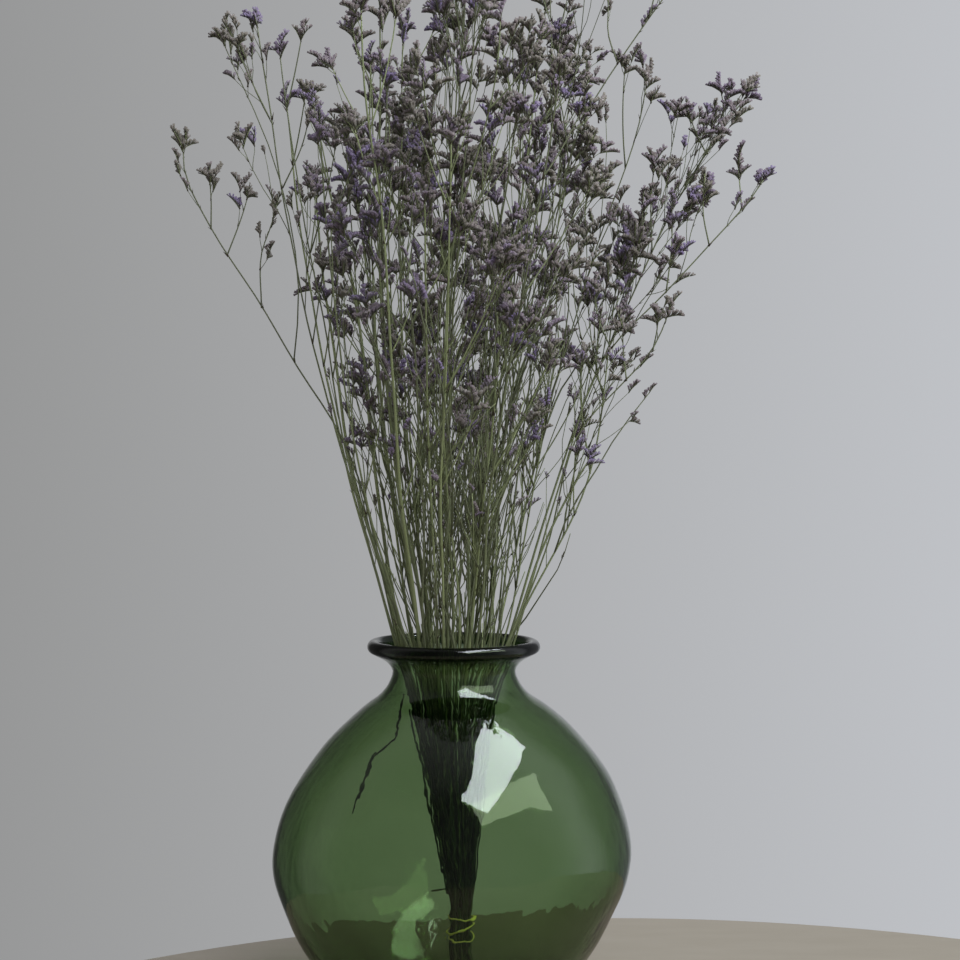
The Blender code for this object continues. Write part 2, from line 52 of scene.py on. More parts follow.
# The vase's outside from the foot to the lip, in millimetres: radius, height, and how far the hand-blown
# body leans sideways at that height.
VASE_OUTSIDE = (
    (50.0, 0.0, -3.4),
    (57.5, 3.0, -3.4),
    (67.5, 11.0, -3.4),
    (79.5, 23.0, -3.4),
    (92.5, 39.3, -3.2),
    (105.0, 62.7, -2.9),
    (113.7, 86.0, -1.8),
    (115.3, 101.5, -0.9),
    (113.4, 117.0, -0.2),
    (104.3, 140.4, 0.8),
    (89.4, 163.7, 1.8),
    (71.6, 183.2, 1.8),
    (58.0, 194.8, 1.4),
    (47.3, 202.6, 0.8),
    (41.8, 210.4, 0.4),
    (40.0, 217.5, 0.2),
    (43.2, 222.4, 0.0),
    (50.5, 227.0, 0.0),
)
OUTSIDE_RINGS = 23
VASE_SIDES = 32
WALL = 3.5 * MM
FLOOR_TOP = 8.0 * MM
FLOOR_RADIUS = 57.0 * MM
LIP_RADIUS = 51.9 * MM
LIP_HEIGHT = 232.4 * MM
LIP_HALF_WIDTH = 4.2 * MM
LIP_HALF_HEIGHT = 4.3 * MM
LIP_TURN = (-50, 200)  # degrees round the lip, from the outside to the inside
LIP_POINTS = 8

# The bunch, in millimetres: height, sideways place of its middle, its radius, and the share of that radius
# that it takes up at the back, where it leaves a crescent of the neck free.
BUNCH = (
    (8.4, 6.4, 9.8, 1.0),
    (40.0, 4.6, 6.9, 1.0),
    (60.0, 4.6, 6.9, 1.0),
    (100.0, 3.4, 11.6, 1.0),
    (150.0, 0.8, 18.5, 0.80),
    (197.0, -1.0, 27.0, 0.56),
    (217.5, -0.4, 32.5, 0.52),
    (240.0, 0.8, 40.0, 0.50),
    (333.0, 1.0, 65.0, 0.72),
    (457.0, 10.0, 98.0, 0.95),
    (586.0, 18.0, 128.0, 1.0),
    (690.0, 22.0, 142.0, 1.0),
)
STEMS = 48
STEM_PITCH = 1.95 * MM  # between neighbours in the bound bundle
STALK_FOOT_RADIUS = 0.80 * MM
STALK_TIP_RADIUS = 0.55 * MM
TWIG_RADIUS = 0.42 * MM
HEAD_RADIUS = 2.4 * MM
HEAD_LENGTH = 17.0 * MM
LOWEST_TWIG = 300.0 * MM
TWIGS = 4
SIDES = 4  # of a stalk and of a twig
NODE_HALF = 0.9 * MM  # half the length of stalk that a twig grows from
TWIG_CLEAR = 4.0 * MM  # how far along a twig its first ring lies, clear of the stalk
TWIG_PIECE = 70.0 * MM  # the longest straight piece of a twig
PATH_POINTS = 60
WANDER = 0.3  # how far a stalk strays across the bunch from above its slot, as a share of the radius
SPREAD_HEIGHTS = (60.0 * MM, 200.0 * MM)  # over which a stalk leaves its slot for its own place
TALL_TIPS = (0.62, 0.70)  # how high the stalks in the middle end
TIP_DROP = 0.07  # how much lower those at the edge end
SHORT_SHARE = 0.25  # of the stalks, which end lower
SHORT_TIPS = (0.44, 0.58)
STALK_BOW = 9.0 * MM
BOW_FROM = 0.24  # the height where that bow sets in
HEAD_RINGS = (0.72, 0.28, 0.0)  # where a head's rings lie, as a share of its length from the tip
NODES_END = 2.2  # how far below the tip the last twig may leave, in lengths of a head
NODE_PLACES = (0.15, 0.85)
FEW_TWIGS = 2  # on a stalk with less than SHORT_STALK of room for them
SHORT_STALK = 100.0 * MM
TWIG_LEAN = (26, 40)  # degrees
TWIG_UPLIFT = (0.3, 0.6)  # the share of its lean that a twig loses on its way up
TWIG_LENGTHS = (35, 95)  # millimetres
TWIG_REACH = 0.9  # the longest twig, as a share of what is left of the stalk
TRIALS = 120
SEED = 41

# The stems that reach out of the bunch, in millimetres: the stalk from the neck to its tip, and then each
# twig from the stalk to its tip.
REACHING = (
    (
        (
            (-33, 5, 217.5), (-78, 7, 376), (-103, 8, 415), (-125, 8, 451),
            (-160, 6, 507), (-175, 5, 541), (-176, 4, 571),
        ),
        (
            (-103, 8, 415), (-102, 14, 460), (-106, 18, 499), (-124, 18, 565),
            (-145, 15, 612), (-158, 13, 642),
        ),
        ((-125, 8, 451), (-125, 6, 489), (-118, 4, 508), (-114, 3, 530)),
        ((-144, 7, 484), (-138, 9, 514), (-131, 10, 540)),
        ((-160, 6, 507), (-158, 4, 526), (-161, 3, 552)),
    ),
    (
        (
            (-27, -10, 217.5), (-72, -14, 362), (-90, -18, 430), (-102, -21, 495),
            (-114, -23, 556), (-126, -24, 645),
        ),
        ((-90, -18, 430), (-84, -22, 462), (-80, -25, 492)),
        ((-107, -22, 520), (-95, -26, 552), (-88, -28, 584)),
        ((-116, -23, 568), (-131, -28, 600), (-143, -31, 630)),
    ),
    (
        (
            (23, -3, 217.5), (48, -6, 392), (68, -10, 520), (80, -12, 563),
            (102, -14, 602), (128, -16, 639), (154, -18, 672),
        ),
        ((74, -11, 542), (70, -16, 572), (62, -20, 604)),
        ((102, -14, 602), (99, -13, 625), (99, -12, 646), (95, -11, 674)),
        ((128, -16, 639), (129, -14, 655), (127, -12, 682)),
    ),
    (
        (
            (31, 9, 217.5), (69, 14, 346), (112, 22, 450), (151, 28, 529),
            (167, 31, 556), (181, 33, 578), (206, 35, 611),
        ),
        ((132, 25, 490), (130, 20, 528), (134, 16, 562)),
        ((167, 31, 556), (161, 33, 573), (152, 35, 602)),
        ((181, 33, 578), (179, 31, 592), (174, 30, 614)),
    ),
    (
        (
            (34, -6, 217.5), (66, -10, 327), (98, -14, 420), (136, -18, 460),
            (160, -22, 486), (190, -26, 520), (205, -28, 543),
        ),
        ((98, -14, 420), (92, -12, 446), (92, -10, 478)),
        ((136, -18, 460), (139, -15, 486), (140, -13, 522)),
        ((160, -22, 486), (158, -25, 508), (160, -27, 540)),
        ((179, -24, 508), (182, -21, 524), (180, -19, 548)),
    ),
    (
        (
            (30, -17, 217.5), (60, -24, 300), (83, -28, 374), (108, -30, 401),
            (125, -31, 420), (141, -32, 458),
        ),
        ((83, -28, 374), (80, -33, 400), (84, -37, 430)),
        ((108, -30, 401), (107, -28, 425), (108, -26, 450)),
        ((125, -31, 420), (128, -34, 436), (127, -36, 456)),
    ),
    (
        ((27, -22, 217.5), (40, -26, 249), (57, -30, 298), (77, -33, 340), (93, -35, 366)),
        ((73, -32, 331), (77, -38, 350), (82, -42, 374)),
    ),
)
OUTERMOST_HEAD = 1.12  # how far out a head of the bunch may reach, as a share of the bunch's radius
HIGHEST_HEAD = 692.0 * MM

# The rubber band's three turns: the height where each turn passes the left side, and the right side.
BAND_TURNS = ((57.5 * MM, 55.6 * MM), (47.8 * MM, 52.3 * MM), (44.6 * MM, 43.2 * MM))
BAND_RADIUS = 0.55 * MM
BAND_STEPS = 20  # round each turn

# ---- the finished pieces: sizes ----

# A pair of bare numbers is the range that something is drawn from at random.

# Vase and band.
FINE_RINGS = 96
FINE_LIP_POINTS = 24
FINE_SIDES = 112
FINE_MERGE = 0.001 * MM
LUMP_SIZE = 30.0  # lumps of the blown wall, per metre
LUMP_DEPTH = 0.5 * MM
FOOT_RADIUS = VASE_OUTSIDE[0][0] * MM
BAND_RINGS = 240
FINE_BAND_SIDES = 9

# A floret's rings, in millimetres: height, radius, and how far towards the papery rim the ring lies.
FLORET_ROWS = ((0.0, 0.34, 0.0), (2.2, 0.68, 0.40), (4.3, 1.28, 1.0))
BUD_ROWS = ((0.0, 0.40, 0.1), (4.2, 1.25, 1.0))
FLORET_SIDES = 5
BUD_SIDES = 4
FLORET_MOUTH = 1.2 * MM  # how far a floret's mouth is sunk in
MOUTH_BLOOM = 0.75
# Florets: the rings, how wide the rim stands open, and the sides.
FLORETS = ((BUD_ROWS, 0.75, BUD_SIDES), (FLORET_ROWS, 1.0, FLORET_SIDES), (BUD_ROWS, 0.9, BUD_SIDES))
WITHERED_FLORETS = ((BUD_ROWS, 0.5, BUD_SIDES), (BUD_ROWS, 0.7, BUD_SIDES))
TIP_FLORET = 0.75  # the size of the floret at a spike's tip
FLORET_SIZES = (0.85, 1.1)
FLORET_TAPER = 0.22  # what a floret loses in size towards the tip
FLORET_LEAN = (42, 62)  # degrees from the axis
FLORET_LEAN_DROP = 18  # degrees that it loses towards the tip
FLORET_RANK = (10, 38)  # degrees that each of the two ranks stands off the middle
FLORET_STEP = (0.7, 1.1)
FLORET_SPARE = 0.3  # of a step, left free at the tip

# The brown scale at a joint.
BRACT_FOOT, BRACT_TIP = 0.6 * MM, 0.05 * MM
BRACT_LENGTH = 3.4 * MM
BRACT_SIDES = 4
BRACT_PLACE = (0.25 * MM, 0.0, 1.2 * MM)
BRACT_FLAT = (0.6, 1.0, 1.0)
BRACT_TILT = math.radians(14)
SPIKE_BRACT = 0.9  # its size at the foot of a spike
LEAF_OFF = 0.3  # how far it sits off the middle of its shoot, in millimetres
LEAF_TILT = 0.25  # how far it leans outward

# Spikes: how many florets, and the length and the bow of the axis in millimetres.
SPIKE_SHAPES = ((9, 8.5, 1.4), (8, 7.0, 0.9), (10, 10.0, 2.1), (7, 6.5, 0.7), (6, 5.0, 0.4))
WITHERED_SHAPES = ((8, 8.5, 1.8), (7, 6.5, 0.8), (5, 5.0, 0.4))
FIRST_WITHERED = len(SPIKE_SHAPES)
AXIS_POINTS = 7
AXIS_RINGS = 4
AXIS_RADII = (0.36, 0.18)  # of a spike's axis at its foot and its tip, in millimetres
MIDDLE_TONE = 0.5
SPIKE_SEED = 3

# Heads: spikes spread like fingers from the end of a shoot.
HEAD_BARE = 15.0 * MM  # how far before its end a shoot gives way to its spikes
HEAD_SPIKES = 4
HEAD_RISE = (0.0, 0.0, 12.0 * MM)  # how far a head rises above the end of its shoot
SPIKES_BACK = (0.0, 6.0)  # how far back from the end all but the first spike start, in millimetres
SPIKE_SIZES = (0.92, 1.3)
FINGER_TURN = (0.3, 0.5)  # of a whole turn, from each spike to the next
FIRST_LEAN = (2, 20)  # degrees
FINGER_LEAN = (30, 78)
UPRIGHT = (0.0, 0.0, 0.25)  # how much more upright a spike stands than its lean says
COMB_LEAN = 0.4  # how far the florets' side of a spike leans inward, and wanders, from straight up
MIXED_SHARE = 0.5  # of the spikes, which may be of any shape; the others stand open
PALE_SHARE = 0.75  # of the lowest spikes, which are withered
PALE_HEIGHTS = (320.0 * MM, 560.0 * MM)  # over which that share falls to nothing
VIOLET_SPREAD = (1.5, 4.0)  # of the stems' tones, as a beta distribution
VIOLET_NOISE = 0.24  # from head to head
SPIKE_NOISE = 0.08  # from spike to spike
VIVID_SHARE = 0.07  # of the heads
VIVID = (0.8, 1.0)

# Stalks and twigs. Radii are in millimetres.
DRESS_SEED = 7
STALK_RINGS = 44
STALK_SIDES = 6
STALK_FOOT_RADII = (0.84, 0.98)
NECK_RADII = (0.62, 0.98)
THICK_NECK_RADII = (1.05, 1.3)
THICK_SHARE = 0.17  # of the stalks, which are thicker and paler than the others
THICK_AGE = 0.4  # the share of its age that a thick stalk keeps
REACHING_AGE = 0.6  # the least age of a stalk that reaches out
REACHING_AGE_GAIN = 0.4
TAPER_HEIGHTS = (0.0, 0.12, 0.24, 0.34, 0.45, 0.68)
TAPER_SHARES = (0.84, 0.66)  # of the neck's radius, at the fourth and the fifth of those heights
TOP_RADIUS, END_RADIUS = 0.42, 0.34  # at the last of those heights, and where the head begins
TWIG_RINGS = 10
TWIG_SIDES = 5
TWIG_RADII = (0.52, 0.34)
TWIG_LEAF = (1.0, 1.6)  # the size of the brown scale under a twig
AGE_NOISE = 0.12  # from shoot to shoot
SWAY = 2.0 * MM  # how far a finished stalk strays from its middle line
SWAYS_PER_METRE = 15.0
SWAY_HEIGHTS = (0.1, 0.26)  # over which the sway sets in
SWAY_APART = 3.7  # between the sways of two stems
SWAY_WAYS = (0.3, 5.6)  # sideways, and to the front and the back

# Side shoots.
JOINTS = 6  # of a thin shoot
JOINT_TURN = 6.0  # degrees, at each joint
JOINT_UPLIFT = 0.6  # how much of its lean a thin shoot loses on its way up
SHOOT_RINGS = 5
SHOOT_SIDES = 3
SHOOT_TAPER = 0.75
SHOOT_LEAF = (0.7, 1.1)  # the size of the brown scale under a shoot
DEEPEST_TIP = 120.0 * MM  # how far to the front or the back a shoot's tip may lie
LOW_HEADS = (300.0 * MM, 500.0 * MM)  # below these heights a head is small or missing, above them full
LOW_HEAD_SHARE, HEAD_SHARE_GAIN = 0.45, 0.55  # of the shoots with a head: low down, and what comes on top
LOW_HEAD_SIZE, HEAD_SIZE_GAIN = 0.7, 0.3
SHOOT_HEAD_SIZES = (0.8, 1.05)
# The kinds of side shoot: the radius in millimetres, the lean from the parent in degrees, the length in
# millimetres, how many spikes, and how strongly it turns to the parent's upper side. SPRAY_SHOOT and the
# SIDE kinds have their length as a share of what is left of the parent.
SPRAY_SHOOT = (0.30, (14, 38), (0.5, 0.95), (2, 5), 0.0)
CHAIN_SHOOT = (0.28, (18, 42), (5, 15), (1, 3), 1.2)
FILL_SHOOT = (0.36, (14, 34), (35, 85), 3, 1.6)
FILL_SIDE_SHOOT = (0.28, (16, 40), (0.6, 1.0), (1, 4), 0.6)
CLIMBER_SHOOT = (0.42, (6, 24), (70, 140), 3, 0.0)
CLIMBER_SIDE_SHOOT = (0.30, (14, 36), (0.7, 1.1), (2, 5), 0.0)
BARE_SHOOT = (0.34, (14, 42), (28, 90), (0, 3), 0.0)

# The spray of shoots over the top of a stalk or twig.
SPRAY_PLACES = (0.2, 0.8)  # of a step between two shoots
STALK_SPRAY = (62.0 * MM, 5, 30.0 * MM)  # over which last length, how many shoots, and the longest
TWIG_SPRAY = (0.5, 4, 27.0 * MM)  # from which share of its length, how many shoots, and the longest
# How richly a stem is dressed, by where its upper half stands from left to right, in millimetres.
FULLNESS = ((-90.0, 0.30), (-30.0, 0.70), (0.0, 1.15), (45.0, 1.00), (100.0, 1.10))
FULLNESS_HEIGHT = 500.0 * MM
# The share of its top shoots that a stalk taller than TALL_STALK keeps.
TALL_SHARES = ((-90.0, 0.2), (-30.0, 0.65), (0.0, 1.6), (40.0, 0.8), (100.0, 0.5))
TALL_STALK = 590.0 * MM

# Short shoots behind each other up to the tip of a reaching stalk or twig.
CHAIN_SHOOTS = 4
CHAIN_PITCH = 11.0 * MM
CHAIN_PLACES = (0.2, 0.9)
CHAIN_FROM = 0.3  # of its length

# The extra shoots of each reaching stem: how many, and between which heights in millimetres.
FILLS = (
    (0, 380, 480),
    (3, 430, 590),
    (8, 400, 530),
    (19, 400, 545),
    (5, 350, 475),
    (3, 330, 400),
    (0, 290, 330),
)
FILL_PLACES = (0.1, 0.9)
FILL_SIDE_SHOOTS = 3
FILL_SIDE_STARTS = (0.3, 0.8)

# Long shoots with a rich head: how many a stem sends up, by where its upper half stands, in millimetres.
CLIMBER_COUNTS = ((-70.0, 0.0), (-35.0, 0.7), (0.0, 3.2), (40.0, 2.2), (90.0, 2.4))
CLIMBER_HEIGHTS = (385.0 * MM, 550.0 * MM)
CLIMBER_SIDE_SHOOTS = 3
CLIMBER_SIDE_STARTS = (0.45, 0.85)

# Shoots with a small head or none below the spray: how many, by where the stem's upper half stands.
BARE_COUNTS = ((-90.0, 4.0), (-30.0, 6.0), (0.0, 7.0), (45.0, 15.0), (100.0, 17.0))
BARE_PLACES = (0.1, 0.9)
LOWEST_SHOOT = 262.0 * MM
BARE_TOP = 110.0 * MM  # the length under the stalk's tip that they leave free

# Strays: long thin shoots from low on a stalk. How many, by where the stem's lower part stands.
STRAY_COUNTS = ((-60.0, 0.4), (-25.0, 2.5), (10.0, 7.5), (60.0, 2.5))
STRAY_HEIGHTS = (212.0 * MM, 320.0 * MM)
UPPER_STRAY_COUNTS = ((-25.0, 0.0), (10.0, 1.0), (60.0, 6.0))
UPPER_STRAY_HEIGHTS = (290.0 * MM, 400.0 * MM)
# How strongly a stray turns to the middle of the bunch, and how much any other way, its lean in degrees, and
# its length in millimetres.
STRAY_WAY = (0.7, 0.6, (7, 30), (60, 160))
LEFT_EDGE = -1.0  # of the bunch, which no stray may end beyond
STRAY_RADII = (0.40, 0.72)
STRAY_TAPER = 0.55
# The strays' tones, old and dark: partly their age and partly painted shade for the shaded middle of the
# bunch that they lean into.
STRAY_AGE_AND_SHADE = (0.7, 1.2)
STRAY_LEAVES = 2
STRAY_LEAF_PLACES = (0.15, 0.95)
STRAY_LEAF_SIZES = (0.8, 1.3)
STRAY_HEAD_SHARE = 0.5
STRAY_SPIKES = (1, 3)
STRAY_HEAD_SIZES = (0.6, 0.85)

# Companions: thin shoots that run beside a stalk from deep in the vase up through the neck.
COMPANIONS = 2
COMPANION_HEIGHTS = (55.0 * MM, 150.0 * MM)
COMPANION_WAY = (1.0, 0.25, (0.5, 4.0), (90, 190))  # as STRAY_WAY
COMPANION_RADII = (0.5, 0.32)
LONG_RINGS = 7  # of a stray and of a companion
LONG_SIDES = 4

# Loose strands beside the bundle, in millimetres: the line from foot to tip, the radii at both ends, and the
# age.
LOOSE_STRANDS = (
    (
        (
            (-5, -9, 84), (-9, -12, 100), (-12, -15, 118), (-17, -20, 139),
            (-19, -24, 158), (-24, -26, 176), (-27, -28, 194),
        ),
        0.9, 0.7, 0.5,
    ),
    (
        (
            (-6, -12, 96), (-8, -14, 108), (-13, -16, 124), (-15, -21, 146),
            (-20, -23, 162), (-21, -27, 178), (-24, -29, 196),
        ),
        0.7, 0.6, 0.9,
    ),
    (
        (
            (-4, -10, 74), (-7, -10, 90), (-8, -13, 106), (-12, -17, 128),
            (-13, -20, 142), (-17, -23, 156), (-18, -26, 170),
        ),
        0.8, 0.6, 0.7,
    ),
    (
        (
            (12, -10, 72), (15.5, -13, 94), (17, -16, 113), (20, -21, 139),
            (19, -25, 160), (17, -27, 176), (19, -28, 194),
        ),
        0.7, 0.5, 0.8,
    ),
    (
        (
            (11, -11, 86), (13, -13, 102), (17, -17, 120), (18, -22, 144),
            (22, -24, 162), (23, -27, 180), (25, -29, 196),
        ),
        0.8, 0.6, 0.4,
    ),
)
STRAND_POINTS = 40
STRAND_RINGS = 26
# Kinked twigs: the line from foot to tip, and the radius at each of its points, in millimetres.
KINKED_TWIGS = (
    (
        (
            (-66, -2, 125), (-59, 0, 143), (-52, 2, 161), (-46, 2, 166),
            (-38, 3, 172), (-35.5, 4, 186), (-33, 5, 200),
        ),
        (0.7, 1.1, 0.9, 1.25, 0.9, 0.8, 0.6),
    ),
    (((-14, -9, 76), (-9, -8, 76.5), (-4, -7, 77)), (0.7, 0.6, 0.55)),
)
KINKED_AGE = 0.8
KINKED_LEAF = 0.9
KINKED_LEAF_TILT = 0.4

# ---- the finished pieces: colours ----

PAPER, SCALE = 1, 2  # material slots of a dressed stem, after the stalk's 0
GLASS_FACE = (0.97, 0.99, 0.96)
GLASS_LIP = (0.105, 0.125, 0.095)
LIP_SHADE_HEIGHTS = (224.0 * MM, 230.0 * MM)  # over which the face turns into the darker lip
GLASS_DEPTH = (0.234, 0.444, 0.0625)
GLASS_DENSITY = 300.0
RIPPLE_SHARE = 0.6  # of the fine ripples in the glass, beside its waves
STALK_COLOURS = (
    (0.0, (0.236, 0.264, 0.118)),
    (0.5, (0.158, 0.181, 0.080)),
    (1.0, (0.080, 0.086, 0.047)),
)
STALK_STREAK = (0.25, 0.265, 0.165)
STREAK_SHARE = 0.5
OLD_HEIGHTS = (330.0 * MM, 500.0 * MM)  # over which the stalks turn greyer
OLD_SHARE = 0.28
# Painted shade on the stalks inside the vase: darker below these heights, with lighter streaks.
VASE_SHADE_STALK = (0.075, 0.12, 0.06)  # painted shade: how much darker the stalks are low in the vase, inside the glass
VASE_SHADE_STREAK = (0.50, 0.56, 0.42)  # the same painted shade, lighter, for the streaks between the most shaded stalks
UNSHADED_STALK = (1.0, 1.0, 1.0)
VASE_SHADE_HEIGHTS = (190.0 * MM, 216.0 * MM)
SHADE_STREAK_BAND = (0.52, 0.70)  # of the noise that makes those lighter streaks in the painted shade
RIM_COLOURS = (
    (0.0, (0.146, 0.125, 0.105)),
    (0.3, (0.153, 0.117, 0.126)),
    (0.6, (0.154, 0.112, 0.160)),
    (1.0, (0.162, 0.120, 0.222)),
)
# Painted highlights: pale patches that noise lays on the papery rims.
RIM_HIGHLIGHT = (0.39, 0.34, 0.35)
RIM_HIGHLIGHT_SHARE = 0.6
RIM_HIGHLIGHT_BAND = (0.55, 0.75)  # of the noise that lays the painted highlights on the rims
BLOOM_GAIN, BLOOM_ROUNDING = 1.25, 0.2  # how the foot's colour gives way to the rim's
FLORET_FOOT_COLOURS = ((0.3, (0.055, 0.057, 0.036)), (0.7, (0.118, 0.120, 0.074)))
SCALE_COLOURS = ((0.3, (0.050, 0.036, 0.026)), (0.7, (0.115, 0.085, 0.058)))
RUBBER_COLOURS = ((0.3, (0.50, 0.42, 0.07)), (0.7, (0.66, 0.55, 0.14)))

# ---- the scene round it: sizes and colours ----

TABLE_RADIUS = 0.6
TABLE_THICK = 0.022
TABLE_SIDES = 160
TABLE_PLACE = (0.12, -0.398, 0.0)
FLOOR_COLOURS = ((0.35, (0.236, 0.202, 0.162)), (0.65, (0.250, 0.215, 0.174)))
MIRRORED_TABLE = (0.62, 0.58, 0.52)  # how bright the table mirrors in the glass, as a share
WALL_COLOURS = ((0.0, (0.235, 0.235, 0.230)), (0.5, (0.412, 0.418, 0.428)), (1.0, (0.60, 0.62, 0.66)))
WALL_SPREAD = 0.5  # how far to the left and the right the wall's shade runs, as a part of the direction
# How bright the room is that mirrors in the glass, as a share of the wall's brightness: from behind the
# camera (0) over the sides to straight ahead (1).
ROOM_SHARES = (
    (0.0, 0.22),
    (0.22, 0.22),
    (0.52, 1.15),
    (0.60, 1.1),
    (0.71, 0.30),
    (0.93, 0.26),
    (0.985, 1.0),
)
SKY_COLOUR = (0.93, 0.985, 1.08)
GARDEN_COLOUR = (0.82, 1.0, 0.70)
BELLY = (0.0, 0.0, 0.2)
LIGHT_DISTANCE = 1.6
# Lights: bearing, elevation and roll in degrees, width and height in metres, radiance, and colour.
WINDOWS = {
    "bright_window": (-37.5, 62.5, 23.0, 1.6, 0.56, 9.5, SKY_COLOUR),
    "low_window": (-41.0, 43.0, -4.0, 1.5, 0.50, 2.8, GARDEN_COLOUR),
}
SOFT_FILLS = {
    "side_fill": (-152.0, 18.0, 0.0, 1.2, 1.2, 0.7, SKY_COLOUR),
    "back_fill": (95.0, 30.0, 0.0, 1.2, 1.2, 1.7, SKY_COLOUR),
}
LENS, SENSOR = 58.9, 36.0
CAMERA_PLACE = (0.017, -1.017, 0.340)
NEAREST_SEEN = 0.01
UP = np.array((0.0, 0.0, 1.0))
ALONG_Y = (0.0, 1.0, 0.0)
EVEN = (1.0, 1.0, 1.0)  # a noise that isn't stretched

# ---- how the stems grow ----


def smooth_rows(rows, count):
    """count rows, evenly spaced along a smooth curve through the given rows."""
    rows = np.asarray(rows, float)
    chord = np.r_[0.0, np.cumsum(np.linalg.norm(np.diff(rows, axis=0), axis=1))]
    slope = np.gradient(rows, chord, axis=0)
    at = np.linspace(0.0, chord[-1], count)
    i = np.clip(np.searchsorted(chord, at, side="right") - 1, 0, len(rows) - 2)
    width = (chord[i + 1] - chord[i])[:, None]
    t = (at - chord[i])[:, None] / width
    start = (2 * t**3 - 3 * t**2 + 1) * rows[i] + (t**3 - 2 * t**2 + t) * width * slope[i]
    end = (3 * t**2 - 2 * t**3) * rows[i + 1] + (t**3 - t**2) * width * slope[i + 1]
    return start + end


def ease(value, low, high):
    """0 below low, 1 above high, and a smooth step between."""
    t = min(max((value - low) / (high - low), 0.0), 1.0)
    return t * t * (3.0 - 2.0 * t)


def unit(vector):
    return vector / np.linalg.norm(vector)


def vase_profile(rings, lip_points):
    """The section of the wall, from the middle of the foot, over the lip, to the middle of the floor.

    Each row is a radius, a height and a sideways lean.
    """
    outside = smooth_rows(VASE_OUTSIDE, rings) * MM
    run = np.gradient(outside[:, :2], axis=0)
    inward = np.c_[-run[:, 1], run[:, 0]] / np.linalg.norm(run, axis=1)[:, None]
    inside = outside.copy()
    inside[:, :2] += inward * WALL
    inside = inside[inside[:, 1] > FLOOR_TOP + WALL][::-1]
    turn = np.linspace(*(math.radians(angle) for angle in LIP_TURN), lip_points)
    lip = np.c_[
        LIP_RADIUS + LIP_HALF_WIDTH * np.cos(turn),
        LIP_HEIGHT + LIP_HALF_HEIGHT * np.sin(turn),
        np.zeros(lip_points),
    ]
    lean = outside[0, 2]
    foot = (0.0, 0.0, lean)
    floor = ((FLOOR_RADIUS, FLOOR_TOP, lean), (0.0, FLOOR_TOP, lean))
    return np.vstack([foot, outside, lip, inside, floor])


def outward(tangent, side, turn):
    """The direction out from a path, turned this far round it from its side direction."""
    return side * math.cos(turn) + np.cross(tangent, side) * math.sin(turn)


class Path:
    """A smooth line in space, with a side direction carried along it without twisting."""

    def __init__(self, points, facing):
        self.points = np.asarray(points, float)
        self.along = np.r_[0.0, np.cumsum(np.linalg.norm(np.diff(self.points, axis=0), axis=1))]
        self.length = self.along[-1]
        run = np.gradient(self.points, self.along, axis=0)
        self.tangent = run / np.linalg.norm(run, axis=1)[:, None]
        self.side = np.zeros_like(self.points)
        side = np.asarray(facing, float)
        for i, tangent in enumerate(self.tangent):
            side = unit(side - tangent * (side @ tangent))
            self.side[i] = side

    def at(self, distance):
        """The place, the tangent and the side direction this far along."""
        place, tangent, side = (
            np.array([np.interp(distance, self.along, column) for column in rows.T])
            for rows in (self.points, self.tangent, self.side)
        )
        tangent = unit(tangent)
        return place, tangent, unit(side - tangent * (side @ tangent))

    def at_height(self, height):
        return float(np.interp(height, self.points[:, 2], self.along))

    def nearest(self, point):
        return float(self.along[np.argmin(np.linalg.norm(self.points - point, axis=1))])


class Rods:
    """Round rods that are already in place, each with its owner, to test a new one against."""

    def __init__(self):
        self.start = np.zeros((0, 3))
        self.end = np.zeros((0, 3))
        self.radius = np.zeros(0)
        self.owner = np.zeros(0, int)

    def add(self, points, radii, owner):
        self.start = np.vstack([self.start, points[:-1]])
        self.end = np.vstack([self.end, points[1:]])
        self.radius = np.r_[self.radius, np.maximum(radii[:-1], radii[1:])]
        self.owner = np.r_[self.owner, np.full(len(points) - 1, owner)]

    def gap(self, points, radii, among):
        """The smallest gap between a new rod through these points and the placed ones that among picks."""
        middle = points.mean(axis=0)
        reach = np.linalg.norm(points - middle, axis=1).max() + 2 * HEAD_RADIUS
        half = np.linalg.norm(self.end - self.start, axis=1) / 2
        near = among & (np.linalg.norm((self.start + self.end) / 2 - middle, axis=1) < reach + half)
        if not near.any():
            return math.inf
        first, second = points[:-1, None], self.start[None, near]
        d1, d2 = (points[1:] - points[:-1])[:, None], (self.end - self.start)[None, near]
        r = first - second
        a, e, b = (d1 * d1).sum(2), (d2 * d2).sum(2), (d1 * d2).sum(2)
        c, f = (d1 * r).sum(2), (d2 * r).sum(2)
        s = np.clip((b * f - c * e) / np.maximum(a * e - b * b, 1e-18), 0.0, 1.0)
        t = np.clip((b * s + f) / e, 0.0, 1.0)
        s = np.clip((b * t - c) / a, 0.0, 1.0)
        apart = np.linalg.norm(r + d1 * s[..., None] - d2 * t[..., None], axis=2)
        return float((apart - np.maximum(radii[:-1], radii[1:])[:, None] - self.radius[None, near]).min())


def glass_gap(points, radius, profile):
    """The smallest level gap between a stalk and the inside of the vase."""
    inside = profile[np.argmax(profile[:, 1]) : -1][::-1]
    steps = np.linspace(0.0, 1.0, 9)[:, None]
    line = np.vstack([start + (end - start) * steps for start, end in zip(points, points[1:])])
    line = line[line[:, 2] < inside[-1, 1]]
    wall = np.interp(line[:, 2], inside[:, 1], inside[:, 0]) * math.cos(math.pi / VASE_SIDES)
    lean = np.interp(line[:, 2], inside[:, 1], inside[:, 2])
    return float((wall - np.hypot(line[:, 0] - lean, line[:, 1])).min()) - radius


